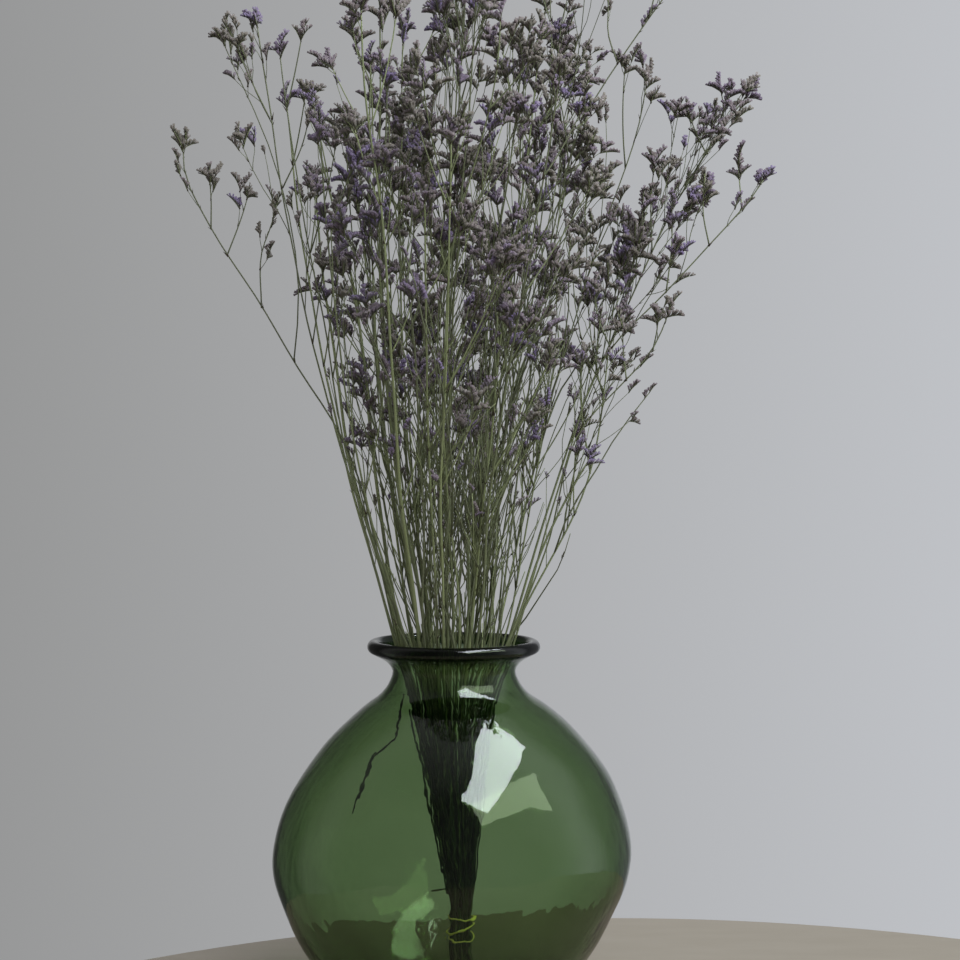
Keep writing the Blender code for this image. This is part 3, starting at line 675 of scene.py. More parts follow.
def bundle_slots():
    """Places of the stalks in the bound bundle, packed like pencils, the middle ones first."""
    rows = range(-6, 7)
    slots = [
        ((i + 0.5 * (j % 2)) * STEM_PITCH, j * STEM_PITCH * math.sqrt(0.75))
        for i in rows
        for j in rows
    ]
    middle = (0.2 * STEM_PITCH, 0.3 * STEM_PITCH)
    slots = np.array(sorted(slots, key=lambda slot: math.dist(slot, middle))[:STEMS])
    slots -= slots.mean(axis=0)
    return slots / np.linalg.norm(slots, axis=1).max()


def bunch_row(height):
    rows = np.array(BUNCH)
    return [np.interp(height / MM, rows[:, 0], rows[:, k]) for k in (1, 2, 3)]


def bunch_point(height, place):
    """Where a stalk runs at this height: place is (0, 0) in the bunch's middle and 1 long at its edge."""
    middle, radius, back = bunch_row(height)
    deep = place[1] * (back if place[1] > 0 else 1.0)
    return np.array([(middle + radius * place[0]) * MM, radius * deep * MM, height])


def place_of(point):
    """The place across the bunch that bunch_point would put at this point."""
    middle, radius, back = bunch_row(point[2])
    place = np.array([point[0] / MM - middle, point[1] / MM]) / radius
    if place[1] > 0:
        place[1] /= back
    return place


def stalk_rows(slot, place, heights):
    """Points of a stalk that leaves its slot in the bound bundle for its own place across the bunch."""
    rows = []
    for height in heights:
        mix = ease(height, *SPREAD_HEIGHTS)
        rows.append(bunch_point(height, slot * (1 - mix) + place * mix))
    return rows


class Stem:
    """A stalk's middle line, and the places along it that its twigs grow from."""

    def __init__(self, path, nodes):
        self.path = path
        self.nodes = sorted(nodes)
        self.twigs = []

    def stations(self):
        """How far along the stalk its rings lie: at the bunch's heights, beside twigs, and at the head."""
        plain = [row[0] * MM for row in BUNCH if row[0] * MM < min(LOWEST_TWIG, self.path.points[-1, 2])]
        marks = [self.path.at_height(height) for height in plain]
        for node in self.nodes:
            marks += [node - NODE_HALF, node + NODE_HALF]
        end = self.path.length
        return marks + [end - share * HEAD_LENGTH for share in (1.0, *HEAD_RINGS)]

    def radii(self):
        along = np.array(self.stations()) / self.path.length
        radii = STALK_FOOT_RADIUS + (STALK_TIP_RADIUS - STALK_FOOT_RADIUS) * along
        radii[-3:] = HEAD_RADIUS, HEAD_RADIUS, STALK_TIP_RADIUS
        return radii

    def corners(self):
        return np.array([self.path.at(mark)[0] for mark in self.stations()])


def random_stalk(slot, rng, wander):
    """A stalk of the bunch: the further out it stands, the lower its tip, and some stay short."""
    place = slot + rng.normal(0.0, wander, 2)
    place /= max(1.0, np.linalg.norm(place))
    top = rng.uniform(*TALL_TIPS) - TIP_DROP * (place @ place)
    if rng.random() < SHORT_SHARE:
        top = rng.uniform(*SHORT_TIPS)
    heights = [row[0] * MM for row in BUNCH if row[0] * MM < top - 0.02] + [top]
    rows = np.array(stalk_rows(slot, place, heights))
    bow = rng.normal(0.0, STALK_BOW, 2)
    swing = np.array([math.sin(math.pi * ease(height, BOW_FROM, top)) for height in heights])
    rows[:, :2] += bow * swing[:, None]
    return rows


def reaching_stalk(slot, rows):
    rows = np.array(rows, float) * MM
    heights = [row[0] * MM for row in BUNCH if row[0] * MM < rows[0, 2] - 0.01]
    low = stalk_rows(slot, place_of(rows[0]), heights)
    return np.vstack([low, rows])


def nodes_along(path, rng):
    """Places for a stalk's twigs, spread from the lowest one to just under the head."""
    low = path.at_height(LOWEST_TWIG)
    high = path.length - NODES_END * HEAD_LENGTH
    count = TWIGS if high - low > SHORT_STALK else FEW_TWIGS
    step = (high - low) / count
    return [low + step * (k + rng.uniform(*NODE_PLACES)) for k in range(count)]


def settle(stem, stems, rods, profile):
    """Adds the stem's stalk if it is clear of everything before it and of the glass."""
    corners, radii = stem.corners(), stem.radii()
    gap = rods.gap(corners, radii, rods.owner != len(stems))
    if gap < GAP or glass_gap(corners, radii[0], profile) < GAP:
        return False
    rods.add(corners, radii, len(stems))
    stems.append(stem)
    return True


def grow_reaching_stems(slots, rods, profile, rng):
    """The stems that reach out of the bunch, each in the slot nearest its way out, with its twigs."""
    stems = []
    for owner, (stalk, *routes) in enumerate(REACHING):
        aim = place_of(np.array(stalk[0]) * MM)
        slots.sort(key=lambda slot: math.dist(slot, aim))
        path = Path(smooth_rows(reaching_stalk(slots.pop(0), stalk), PATH_POINTS), rng.normal(0.0, 1.0, 3))
        stem = Stem(path, [path.nearest(np.array(route[0]) * MM) for route in routes])
        if not settle(stem, stems, rods, profile):
            raise ValueError(f"reaching stalk {owner} meets another stem or the glass")
        for route, node in zip(routes, stem.nodes):
            rows = np.array(route, float) * MM
            rows[0] = path.at(node)[0]
            if not keep_clear_twig(Twig(rows, node), stem, owner, rods):
                raise ValueError(f"the twig to {route[-1]} meets another stem")
    return stems


def grow_bunch(stems, slots, rods, profile, rng):
    """The other stems: first all their stalks, then their twigs, each clear of everything before it."""
    first_owner = len(stems)
    for slot in slots:
        for trial in range(TRIALS):
            rows = random_stalk(slot, rng, WANDER * (1 - trial / TRIALS))
            path = Path(smooth_rows(rows, PATH_POINTS), rng.normal(0.0, 1.0, 3))
            if settle(Stem(path, nodes_along(path, rng)), stems, rods, profile):
                break
        else:
            raise ValueError("a stalk found no way through the bunch")
    for owner, stem in list(enumerate(stems))[first_owner:]:
        for node in stem.nodes:
            face = rng.integers(SIDES)
            for trial in range(TRIALS):
                twig = random_twig(stem, node, face + trial, rng, 1 - trial / TRIALS)
                if in_bounds(twig) and keep_clear_twig(twig, stem, owner, rods):
                    break


def bent_rows(start, tangent, side, lean, uplift, length):
    """Points of a twig that leaves the stalk at an angle and bends upward."""
    steps = 8
    rows = [start]
    for k in range(steps):
        angle = lean * (1 - uplift * (k + 0.5) / steps)
        rows.append(rows[-1] + (tangent * math.cos(angle) + side * math.sin(angle)) * length / steps)
    return rows


class Twig:
    """A twig's middle line, from the middle of the stalk to the tip of its flower head."""

    def __init__(self, rows, node):
        self.path = Path(smooth_rows(rows, PATH_POINTS), np.cross(rows[1] - rows[0], (0.3, 0.5, 0.1)))
        self.node = node

    def stations(self):
        end = self.path.length
        bare = end - HEAD_LENGTH
        pieces = math.ceil(bare / TWIG_PIECE)
        marks = [TWIG_CLEAR] + [bare * (k + 1) / pieces for k in range(pieces)]
        return marks + [end - share * HEAD_LENGTH for share in HEAD_RINGS]

    def radii(self):
        radii = np.full(len(self.stations()), TWIG_RADIUS)
        radii[-3:-1] = HEAD_RADIUS
        return radii

    def corners(self):
        return np.array([self.path.at(mark)[0] for mark in self.stations()])


def face_direction(stem, node, face):
    """The outward direction of one of the stalk's faces."""
    _, tangent, side = stem.path.at(node)
    return outward(tangent, side, (face + 0.5) * math.tau / SIDES)


def random_twig(stem, node, face, rng, spare):
    """A twig that leaves from one face of the stalk, shorter as spare falls from 1 to 0."""
    start, tangent, _ = stem.path.at(node)
    side = face_direction(stem, node, face)
    lean = math.radians(rng.uniform(*TWIG_LEAN))
    longest = (stem.path.length - node) * TWIG_REACH
    length = HEAD_LENGTH + min(rng.uniform(*TWIG_LENGTHS) * MM * spare, longest)
    return Twig(bent_rows(start, tangent, side, lean, rng.uniform(*TWIG_UPLIFT), length), node)


def in_bounds(twig):
    tip = twig.path.points[-1]
    return tip[2] < HIGHEST_HEAD and np.linalg.norm(place_of(tip)) < OUTERMOST_HEAD


def keep_clear_twig(twig, stem, owner, rods):
    """Adds the twig if it is clear of everything but its own stalk."""
    if rods.gap(twig.corners(), twig.radii(), rods.owner != owner) < GAP:
        return False
    stem.twigs.append(twig)
    rods.add(twig.corners(), twig.radii(), -1 - owner)
    return True


def band_points():
    """The middle line of the band: three turns, the last one crossing back behind the bundle."""
    middle, radius, _ = bunch_row(BAND_TURNS[1][0])
    reach = radius * MM + STALK_FOOT_RADIUS + GAP + BAND_RADIUS
    half = BAND_STEPS // 2
    points = []
    for turn, (left, right) in enumerate(BAND_TURNS):
        again = BAND_TURNS[(turn + 1) % len(BAND_TURNS)][0]
        crossing = turn == len(BAND_TURNS) - 1
        for k in range(BAND_STEPS):
            behind = k >= half
            share = ease(k % half, 0, half)
            height = right + (again - right) * share if behind else left + (right - left) * share
            over = math.sin(math.pi * (k - half) / half) ** 0.5 if behind and crossing else 0
            clear = (2 * BAND_RADIUS + GAP) * over
            angle = math.pi + k * math.tau / BAND_STEPS
            out = reach + clear
            points.append((middle * MM + out * math.cos(angle), out * math.sin(angle), height))
    return np.array(points)


# ---- modelling by operators ----


def crooked_rows(start, tangent, side, lean, length, rng):
    """Points of a thin shoot that leaves at an angle, bends upward and turns a little at each joint."""
    rows = [start]
    across = np.cross(tangent, side)
    sway = 0.0
    for k in range(JOINTS):
        angle = lean * (1 - JOINT_UPLIFT * (k + 0.5) / JOINTS) + math.radians(rng.normal(0.0, JOINT_TURN))
        sway += math.radians(rng.normal(0.0, JOINT_TURN))
        ahead = tangent * math.cos(angle) + side * math.sin(angle) + across * math.sin(sway)
        rows.append(rows[-1] + unit(ahead) * length / JOINTS)
    return rows


def shoot_mesh():
    """An empty bmesh for what grows: bloom runs from stalk to open rim, tone from dull to vivid."""
    bm = bmesh.new()
    bm.verts.layers.float.new("bloom")
    bm.verts.layers.float.new("tone")
    return bm


def ring_places(path, mark, radius, sides):
    """The corners of a ring round the path."""
    place, tangent, side = path.at(mark)
    over = np.cross(tangent, side)
    turns = np.arange(sides) * math.tau / sides
    return place + radius * (np.outer(np.cos(turns), side) + np.outer(np.sin(turns), over))


def grow_rings(bm, path, marks, radii, sides, tone):
    """Extrudes a disc ring by ring along the path. Returns the edges of its foot and the face at its tip."""
    disc = bmesh.ops.create_circle(bm, cap_ends=True, radius=1.0, segments=sides)
    face = disc["verts"][0].link_faces[0]
    foot_edges = list(face.edges)
    tone_layer = bm.verts.layers.float["tone"]
    for number, (mark, radius) in enumerate(zip(marks, radii)):
        if number:
            face = bmesh.ops.extrude_discrete_faces(bm, faces=[face])["faces"][0]
        for vert, corner in zip(face.verts, ring_places(path, mark, radius, sides)):
            vert.co = corner
            vert[tone_layer] = tone
    return foot_edges, face


def grow_tube(bm, path, marks, radii, sides, tone):
    """A shoot along the path, closed at both ends, grown by itself and then added to bm."""
    shoot = shoot_mesh()
    foot_edges, _ = grow_rings(shoot, path, marks, radii, sides, tone)
    bmesh.ops.edgeloop_fill(shoot, edges=foot_edges)
    mesh = store(shoot, "shoot")
    bm.from_mesh(mesh)
    bpy.data.meshes.remove(mesh)


def store(bm, name):
    """The bmesh as a mesh, with its faces outward."""
    bmesh.ops.recalc_face_normals(bm, faces=bm.faces)
    mesh = bpy.data.meshes.new(name)
    bm.to_mesh(mesh)
    bm.free()
    return mesh


def turned_frame(place, direction, side, scale=1.0):
    """The matrix that stands a modelled piece at place, its +Z along direction and its +X towards side."""
    up = unit(direction)
    out = unit(side - up * (side @ up))
    matrix = np.eye(4)
    matrix[:3, :3] = np.column_stack((out, np.cross(up, out), up)) * scale
    matrix[:3, 3] = place
    return Matrix(matrix.tolist())


def put(bm, mesh, matrix, tone=None):
    """Adds a copy of a modelled piece, moved by matrix and given its tone."""
    copy = mesh.copy()
    copy.transform(matrix)
    if tone is not None:
        copy.attributes["tone"].data.foreach_set("value", np.full(len(copy.vertices), tone))
    bm.from_mesh(copy)
    bpy.data.meshes.remove(copy)


# ---- florets, spikes and bracts ----


def model_floret(rows, rim_share, sides):
    """A papery calyx: a slim funnel with its mouth sunk in, its rim open by rim_share."""
    bm = shoot_mesh()
    bmesh.ops.create_circle(bm, cap_ends=True, radius=rows[0][1] * MM, segments=sides)
    foot_edges = list(bm.edges)
    face = next(iter(bm.faces))
    bloom_layer = bm.verts.layers.float["bloom"]
    for low, high in zip(rows, rows[1:]):
        face = bmesh.ops.extrude_discrete_faces(bm, faces=[face])["faces"][0]
        grow = high[1] * (rim_share if high is rows[-1] else 1.0) / low[1]
        bmesh.ops.scale(bm, vec=(grow, grow, 1.0), verts=face.verts)
        bmesh.ops.translate(bm, vec=(0.0, 0.0, (high[0] - low[0]) * MM), verts=face.verts)
        for vert in face.verts:
            vert[bloom_layer] = high[2]
    mouth = bmesh.ops.poke(bm, faces=[face], offset=-FLORET_MOUTH)
    for vert in mouth["verts"]:
        vert[bloom_layer] = MOUTH_BLOOM
    bmesh.ops.edgeloop_fill(bm, edges=foot_edges)
    for face in bm.faces:
        face.material_index = PAPER
    return store(bm, "floret")


def model_bract():
    """A pointed brown scale, cupped round the shoot that it sits on."""
    bm = shoot_mesh()
    bmesh.ops.create_cone(
        bm,
        cap_ends=True,
        segments=BRACT_SIDES,
        radius1=BRACT_FOOT,
        radius2=BRACT_TIP,
        depth=BRACT_LENGTH,
    )
    bmesh.ops.translate(bm, vec=BRACT_PLACE, verts=bm.verts)
    bmesh.ops.scale(bm, vec=BRACT_FLAT, verts=bm.verts)
    tilt = Matrix.Rotation(BRACT_TILT, 3, "Y")
    bmesh.ops.rotate(bm, cent=(0.0, 0.0, 0.0), matrix=tilt, verts=bm.verts)
    for face in bm.faces:
        face.material_index = SCALE
    return store(bm, "bract")


def model_spike(florets, bract, count, length, bow, rng):
    """A one-sided spike: an arching axis with two ranks of florets on its upper side, smaller to the tip."""
    bm = shoot_mesh()
    steps = np.linspace(0.0, 1.0, AXIS_POINTS)
    axis = Path(np.column_stack((-bow * steps**2, 0.0 * steps, length * steps)), (1.0, 0.0, 0.0))
    marks = axis.length * np.linspace(0.0, 1.0, AXIS_RINGS)
    grow_tube(bm, axis, marks, np.linspace(*AXIS_RADII, AXIS_RINGS) * MM, SHOOT_SIDES, MIDDLE_TONE)
    foot = turned_frame((0.0, 0.0, 0.0), (0.1, 0.0, 1.0), np.array((1.0, 0.2, 0.0)), SPIKE_BRACT)
    put(bm, bract, foot)
    for k in range(count):
        share = (k + rng.uniform(*FLORET_STEP)) / (count + FLORET_SPARE)
        place, tangent, side = axis.at(axis.length * share)
        rank = math.radians(rng.uniform(*FLORET_RANK)) * (-1) ** k
        lean = math.radians(rng.uniform(*FLORET_LEAN) - FLORET_LEAN_DROP * share)
        out = outward(tangent, side, rank)
        direction = tangent * math.cos(lean) + out * math.sin(lean)
        size = rng.uniform(*FLORET_SIZES) * (1.0 - FLORET_TAPER * share)
        floret = florets[rng.integers(len(florets))]
        put(bm, floret, turned_frame(place, direction, np.cross(direction, out), size))
    put(bm, florets[0], turned_frame(axis.points[-1], axis.tangent[-1], axis.side[-1], TIP_FLORET))
    return store(bm, "spike")


def model_spikes():
    """The bract, and the spikes that every head is put together from: open ones, then withered ones."""
    rng = np.random.default_rng(SPIKE_SEED)
    bract = model_bract()
    spikes = []
    for kinds, shapes in ((FLORETS, SPIKE_SHAPES), (WITHERED_FLORETS, WITHERED_SHAPES)):
        florets = [model_floret(*kind) for kind in kinds]
        for count, length, bow in shapes:
            spikes.append(model_spike(florets, bract, count, length * MM, bow * MM, rng))
        for mesh in florets:
            bpy.data.meshes.remove(mesh)
    return spikes, bract


# ---- dressing a stem ----


class Dresser:
    """Grows everything that one stem carries into one bmesh."""

    def __init__(self, number, spikes, bract):
        self.rng = np.random.default_rng((DRESS_SEED, number))
        self.bm = shoot_mesh()
        self.spikes = spikes
        self.bract = bract
        self.age = self.rng.uniform(0.0, 1.0)
        self.violet = self.rng.beta(*VIOLET_SPREAD)

    def shoot(self, path, end, rings, radii, sides, age=None):
        """A tapering tube from the path's start to this far along it."""
        marks = np.linspace(0.0, end, rings)
        age = self.age if age is None else age
        tone = np.clip(age + self.rng.normal(0.0, AGE_NOISE), 0.0, 1.0)
        grow_tube(self.bm, path, marks, np.interp(marks, (0.0, end), np.array(radii) * MM), sides, tone)

    def scale_leaf(self, path, mark, size):
        place, tangent, side = path.at(mark)
        out = outward(tangent, side, self.rng.uniform(0.0, math.tau))
        matrix = turned_frame(place + out * LEAF_OFF * MM, tangent + LEAF_TILT * out, out, size)
        put(self.bm, self.bract, matrix, self.age)

    def pick_spike(self, height):
        """The number of a spike's shape. Low in the bunch more of them are withered."""
        mixed = self.rng.random() < MIXED_SHARE
        number = self.rng.integers(len(self.spikes) if mixed else FIRST_WITHERED)
        if self.rng.random() < PALE_SHARE * (1.0 - ease(height, *PALE_HEIGHTS)):
            number = self.rng.integers(FIRST_WITHERED, len(self.spikes))
        return number

    def head(self, path, count, size=1.0):
        """Spikes at the end of a shoot, spread like fingers."""
        rng = self.rng
        turn = rng.uniform(0.0, math.tau)
        violet = np.clip(self.violet + rng.normal(0.0, VIOLET_NOISE), 0.0, 1.0)
        if rng.random() < VIVID_SHARE:
            violet = rng.uniform(*VIVID)
        for k in range(count):
            place, tangent, side = path.at(path.length - (k > 0) * rng.uniform(*SPIKES_BACK) * MM)
            turn += math.tau * rng.uniform(*FINGER_TURN)
            out = outward(tangent, side, turn)
            if abs(place[1]) > DEEPEST_TIP and out[1] * place[1] > 0:
                out = -out
            lean = math.radians(rng.uniform(*(FINGER_LEAN if k else FIRST_LEAN)))
            direction = tangent * math.cos(lean) + out * math.sin(lean) + UPRIGHT
            spike = self.spikes[self.pick_spike(place[2])]
            comb = UP + COMB_LEAN * rng.normal(0.0, 1.0, 3) - COMB_LEAN * out
            tone = np.clip(violet + rng.normal(0.0, SPIKE_NOISE), 0.0, 1.0)
            put(self.bm, spike, turned_frame(place, direction, comb, size * rng.uniform(*SPIKE_SIZES)), tone)

    def side_shoot(self, parent, mark, kind, room=MM, longest=math.inf):
        """A thin shoot that leaves its parent at an angle and carries a small head.

        It leaves in any direction round the parent, or, as upward grows, more on its upper side. It may then
        reach out of the bunch as its parent does. Its kind's length is multiplied by room.
        """
        rng = self.rng
        radius, lean, lengths, spikes, upward = kind
        length = min(room * rng.uniform(*lengths), longest)
        count = spikes if isinstance(spikes, int) else rng.integers(*spikes)
        place, tangent, side = parent.at(mark)
        out = outward(tangent, side, rng.uniform(0.0, math.tau))
        if upward:
            out = out + upward * UP
            out = unit(out - tangent * (out @ tangent))
        rows = crooked_rows(place, tangent, out, math.radians(rng.uniform(*lean)), length, rng)
        tip = rows[-1] + HEAD_RISE
        if tip[2] > HIGHEST_HEAD or abs(tip[1]) > DEEPEST_TIP:
            return None
        if not upward and np.linalg.norm(place_of(tip)) > OUTERMOST_HEAD:
            return None
        path = Path(rows, out)
        self.shoot(path, path.length, SHOOT_RINGS, (radius, radius * SHOOT_TAPER), SHOOT_SIDES)
        self.scale_leaf(parent, mark, rng.uniform(*SHOOT_LEAF))
        full = ease(tip[2], *LOW_HEADS)
        if count and rng.random() < LOW_HEAD_SHARE + HEAD_SHARE_GAIN * full:
            count = 1 if rng.random() > full else count
            size = rng.uniform(*SHOOT_HEAD_SIZES) * (LOW_HEAD_SIZE + HEAD_SIZE_GAIN * full)
            self.head(path, count, size)
        return path

    def spray(self, path, low, count, longest):
        """Side shoots over the upper part of a path. Each ends near its head, so all make one cluster."""
        for k in range(count):
            share = (k + self.rng.uniform(*SPRAY_PLACES)) / count
            mark = low + (path.length - HEAD_BARE - low) * share
            self.side_shoot(path, mark, SPRAY_SHOOT, path.length - mark, longest)

    def chain(self, path):
        """Short shoots with one spike or two, close behind each other up to the tip of a reaching path."""
        for k in range(CHAIN_SHOOTS):
            mark = path.length - HEAD_BARE - CHAIN_PITCH * (k + self.rng.uniform(*CHAIN_PLACES))
            if mark > CHAIN_FROM * path.length:
                self.side_shoot(path, mark, CHAIN_SHOOT)

    def fill_out(self, stalk, count, low, high):
        """Shoots with heads that stand up from a reaching stalk between two heights."""
        for k in range(count):
            mark = stalk.at_height(low + (high - low) * (k + self.rng.uniform(*FILL_PLACES)) / count)
            path = self.side_shoot(stalk, mark, FILL_SHOOT)
            if path:
                for _ in range(FILL_SIDE_SHOOTS):
                    start = self.rng.uniform(*FILL_SIDE_STARTS) * path.length
                    self.side_shoot(path, start, FILL_SIDE_SHOOT, path.length - start)

    def climber(self, stalk):
        """A long shoot that rises beside the upper stalk and ends in a rich head."""
        mark = stalk.at_height(self.rng.uniform(*CLIMBER_HEIGHTS))
        path = self.side_shoot(stalk, mark, CLIMBER_SHOOT)
        if path:
            for share in self.rng.uniform(*CLIMBER_SIDE_STARTS, CLIMBER_SIDE_SHOOTS):
                room = path.length * (1.0 - share)
                self.side_shoot(path, share * path.length, CLIMBER_SIDE_SHOOT, room)

    def bare_shoots(self, stalk):
        """Shoots with a small head or none, between the lowest and the spray."""
        low, high = stalk.at_height(LOWEST_SHOOT), stalk.length - BARE_TOP
        count = round(by_side(BARE_COUNTS, stalk, FULLNESS_HEIGHT)) if high > low else 0
        for k in range(count):
            mark = low + (high - low) * (k + self.rng.uniform(*BARE_PLACES)) / count
            self.side_shoot(stalk, mark, BARE_SHOOT)

    def inward_path(self, stalk, heights, way):
        """A crooked path from between two heights of the stalk, leaning in over the middle of the bunch."""
        pull, drift, lean, lengths = way
        rng = self.rng
        place, tangent, _ = stalk.at(stalk.at_height(rng.uniform(*heights)))
        middle, radius, _ = bunch_row(place[2])
        to_middle = np.array((middle * MM - place[0], -place[1], 0.0))
        inward = pull * to_middle / (radius * MM) + rng.normal(0.0, drift, 3)
        inward = unit(inward - tangent * (inward @ tangent))
        angle = math.radians(rng.uniform(*lean))
        return Path(crooked_rows(place, tangent, inward, angle, rng.uniform(*lengths) * MM, rng), inward)

    def companion(self, stalk, profile):
        """A thin shoot that runs beside the stalk from deep in the vase up through the neck."""
        path = self.inward_path(stalk, COMPANION_HEIGHTS, COMPANION_WAY)
        if glass_gap(path.points, COMPANION_RADII[0] * MM, profile) > GAP:
            self.shoot(path, path.length, LONG_RINGS, COMPANION_RADII, LONG_SIDES)

    def stray(self, stalk, heights):
        """A long thin shoot from low on the stalk, bare or nearly so.

        It is left out where it would end outside the bunch on its left.
        """
        rng = self.rng
        path = self.inward_path(stalk, heights, STRAY_WAY)
        tip = path.points[-1]
        if place_of(tip)[0] < LEFT_EDGE:
            return
        thick = rng.uniform(*STRAY_RADII)
        # Its dark tone is partly age and partly painted shade of the bunch's middle.
        age = rng.uniform(*STRAY_AGE_AND_SHADE)
        self.shoot(path, path.length, LONG_RINGS, (thick, STRAY_TAPER * thick), LONG_SIDES, age)
        for mark in path.length * rng.uniform(*STRAY_LEAF_PLACES, STRAY_LEAVES):
            self.scale_leaf(path, mark, rng.uniform(*STRAY_LEAF_SIZES))
        if tip[2] > LOW_HEADS[0] and rng.random() < STRAY_HEAD_SHARE:
            self.head(path, rng.integers(*STRAY_SPIKES), rng.uniform(*STRAY_HEAD_SIZES))

    def dress_reaching(self, number, stem, stalk):
        """The extra shoots of a stem that reaches out of the bunch."""
        count, low, high = FILLS[number - 1]
        self.fill_out(stalk, count, low * MM, high * MM)
        self.chain(stalk)
        for twig in stem.twigs:
            self.chain(twig.path)

    def dress_inner(self, stem, stalk):
        """The extra shoots of a stem inside the bunch."""
        top = stalk.points[-1, 2]
        full = by_side(FULLNESS, stalk, FULLNESS_HEIGHT)
        if top > TALL_STALK:
            full *= by_side(TALL_SHARES, stalk, FULLNESS_HEIGHT)
        last, count, longest = STALK_SPRAY
        self.spray(stalk, stalk.length - last, round(count * full), longest)
        share, count, longest = TWIG_SPRAY
        for twig in stem.twigs:
            self.spray(twig.path, share * twig.path.length, round(count * full), longest)
        self.bare_shoots(stalk)
        for _ in range(round(by_side(STRAY_COUNTS, stalk, STRAY_HEIGHTS[1]))):
            self.stray(stalk, STRAY_HEIGHTS)
        if top > UPPER_STRAY_HEIGHTS[1]:
            for _ in range(round(by_side(UPPER_STRAY_COUNTS, stalk, UPPER_STRAY_HEIGHTS[1]))):
                self.stray(stalk, UPPER_STRAY_HEIGHTS)
        if top > CLIMBER_HEIGHTS[1]:
            for _ in range(round(by_side(CLIMBER_COUNTS, stalk, FULLNESS_HEIGHT))):
                self.climber(stalk)


def swayed(path, number):
    """The path with the small wanderings of a dried stalk, above the tied bundle."""
    points = []
    for point in path.points:
        share = ease(point[2], *SWAY_HEIGHTS)
        along, apart = point[2] * SWAYS_PER_METRE, number * SWAY_APART
        stray = [noise(Vector((along, apart, way))) for way in SWAY_WAYS]
        points.append(point + np.array((*stray, 0.0)) * SWAY * share)
    return Path(points, path.side[0])


def by_side(rows, path, height):
    """A value that changes from left to right of the bunch, for a path that passes this height."""
    place = path.at(path.at_height(height))[0]
    return float(np.interp(place[0] / MM, [row[0] for row in rows], [row[1] for row in rows]))


def stalk_end(path):
    """The path up to where its tube ends and its head begins."""
    keep = path.along <= path.length - HEAD_BARE
    return Path(np.vstack([path.points[keep], path.at(path.length - HEAD_BARE)[0]]), path.side[0])


def dress_stem(number, stem, spikes, bract, profile):
    """One finished stem. The first stems are those that reach out of the bunch."""
    dresser = Dresser(number, spikes, bract)
    rng = dresser.rng
    stalk = swayed(stem.path, number)
    reaching = number <= len(REACHING)
    foot = rng.uniform(*STALK_FOOT_RADII)
    thick = rng.random() < THICK_SHARE and not reaching
    neck = rng.uniform(*(THICK_NECK_RADII if thick else NECK_RADII))
    if thick:
        dresser.age *= THICK_AGE
    if reaching:
        dresser.age = REACHING_AGE + REACHING_AGE_GAIN * dresser.age
    marks = np.linspace(0.0, stalk.length - HEAD_BARE, STALK_RINGS)
    heights = [stalk.at(mark)[0][2] for mark in marks]
    taper = (foot, foot, neck, *(share * neck for share in TAPER_SHARES), TOP_RADIUS)
    radii = np.interp(heights, TAPER_HEIGHTS, taper) * MM
    radii[-1] = END_RADIUS * MM
    grow_tube(dresser.bm, stalk, marks, radii, STALK_SIDES, dresser.age)
    dresser.head(stalk_end(stalk), HEAD_SPIKES)
    for twig in stem.twigs:
        dresser.shoot(twig.path, twig.path.length - HEAD_BARE, TWIG_RINGS, TWIG_RADII, TWIG_SIDES)
        dresser.scale_leaf(stalk, twig.node, rng.uniform(*TWIG_LEAF))
        dresser.head(stalk_end(twig.path), HEAD_SPIKES)
    if reaching:
        dresser.dress_reaching(number, stem, stalk)
    else:
        dresser.dress_inner(stem, stalk)
    for _ in range(COMPANIONS):
        dresser.companion(stalk, profile)
    piece = finish_shoots(f"dressed_stem_{number:02d}", dresser.bm)
    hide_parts(f"stem_{number:02d}")


def finish_shoots(name, bm):
    """The grown bmesh as a finished piece with the three dried materials."""
    piece = finish(name, bm)
    for look in (LOOKS["stalk"], LOOKS["paper"], LOOKS["scale"]):
        piece.data.materials.append(look)
    return piece


def finish(name, bm):
    mesh = store(bm, name)
    mesh.shade_smooth()
    piece = bpy.data.objects.new(name, mesh)
    bpy.context.scene.collection.objects.link(piece)
    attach(piece, "root")
    return piece


# ---- vase, band and loose strands ----


def glass_vase():
    """The blown vase: its section spun about +Z, then leaned sideways as the body leans."""
    bm = bmesh.new()
    rows = vase_profile(FINE_RINGS, FINE_LIP_POINTS)
    line = [bm.verts.new((radius, 0.0, height)) for radius, height, _ in rows]
    edges = [bm.edges.new(pair) for pair in zip(line, line[1:])]
    bmesh.ops.spin(
        bm,
        geom=line + edges,
        cent=(0, 0, 0),
        axis=(0, 0, 1),
        angle=math.tau,
        steps=FINE_SIDES,
        use_merge=True,
    )
    bmesh.ops.remove_doubles(bm, verts=bm.verts, dist=FINE_MERGE)
    bmesh.ops.recalc_face_normals(bm, faces=bm.faces)
    leans = np.array(VASE_OUTSIDE) * MM
    for vert in bm.verts:
        out = Vector((vert.co.x, vert.co.y, 0.0)) / FOOT_RADIUS
        vert.co += out * noise(vert.co * LUMP_SIZE) * LUMP_DEPTH
        vert.co.x += np.interp(vert.co.z, leans[:, 1], leans[:, 2])
    vase = finish("glass_vase", bm)
    vase.data.materials.append(LOOKS["glass"])
    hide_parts("vase")


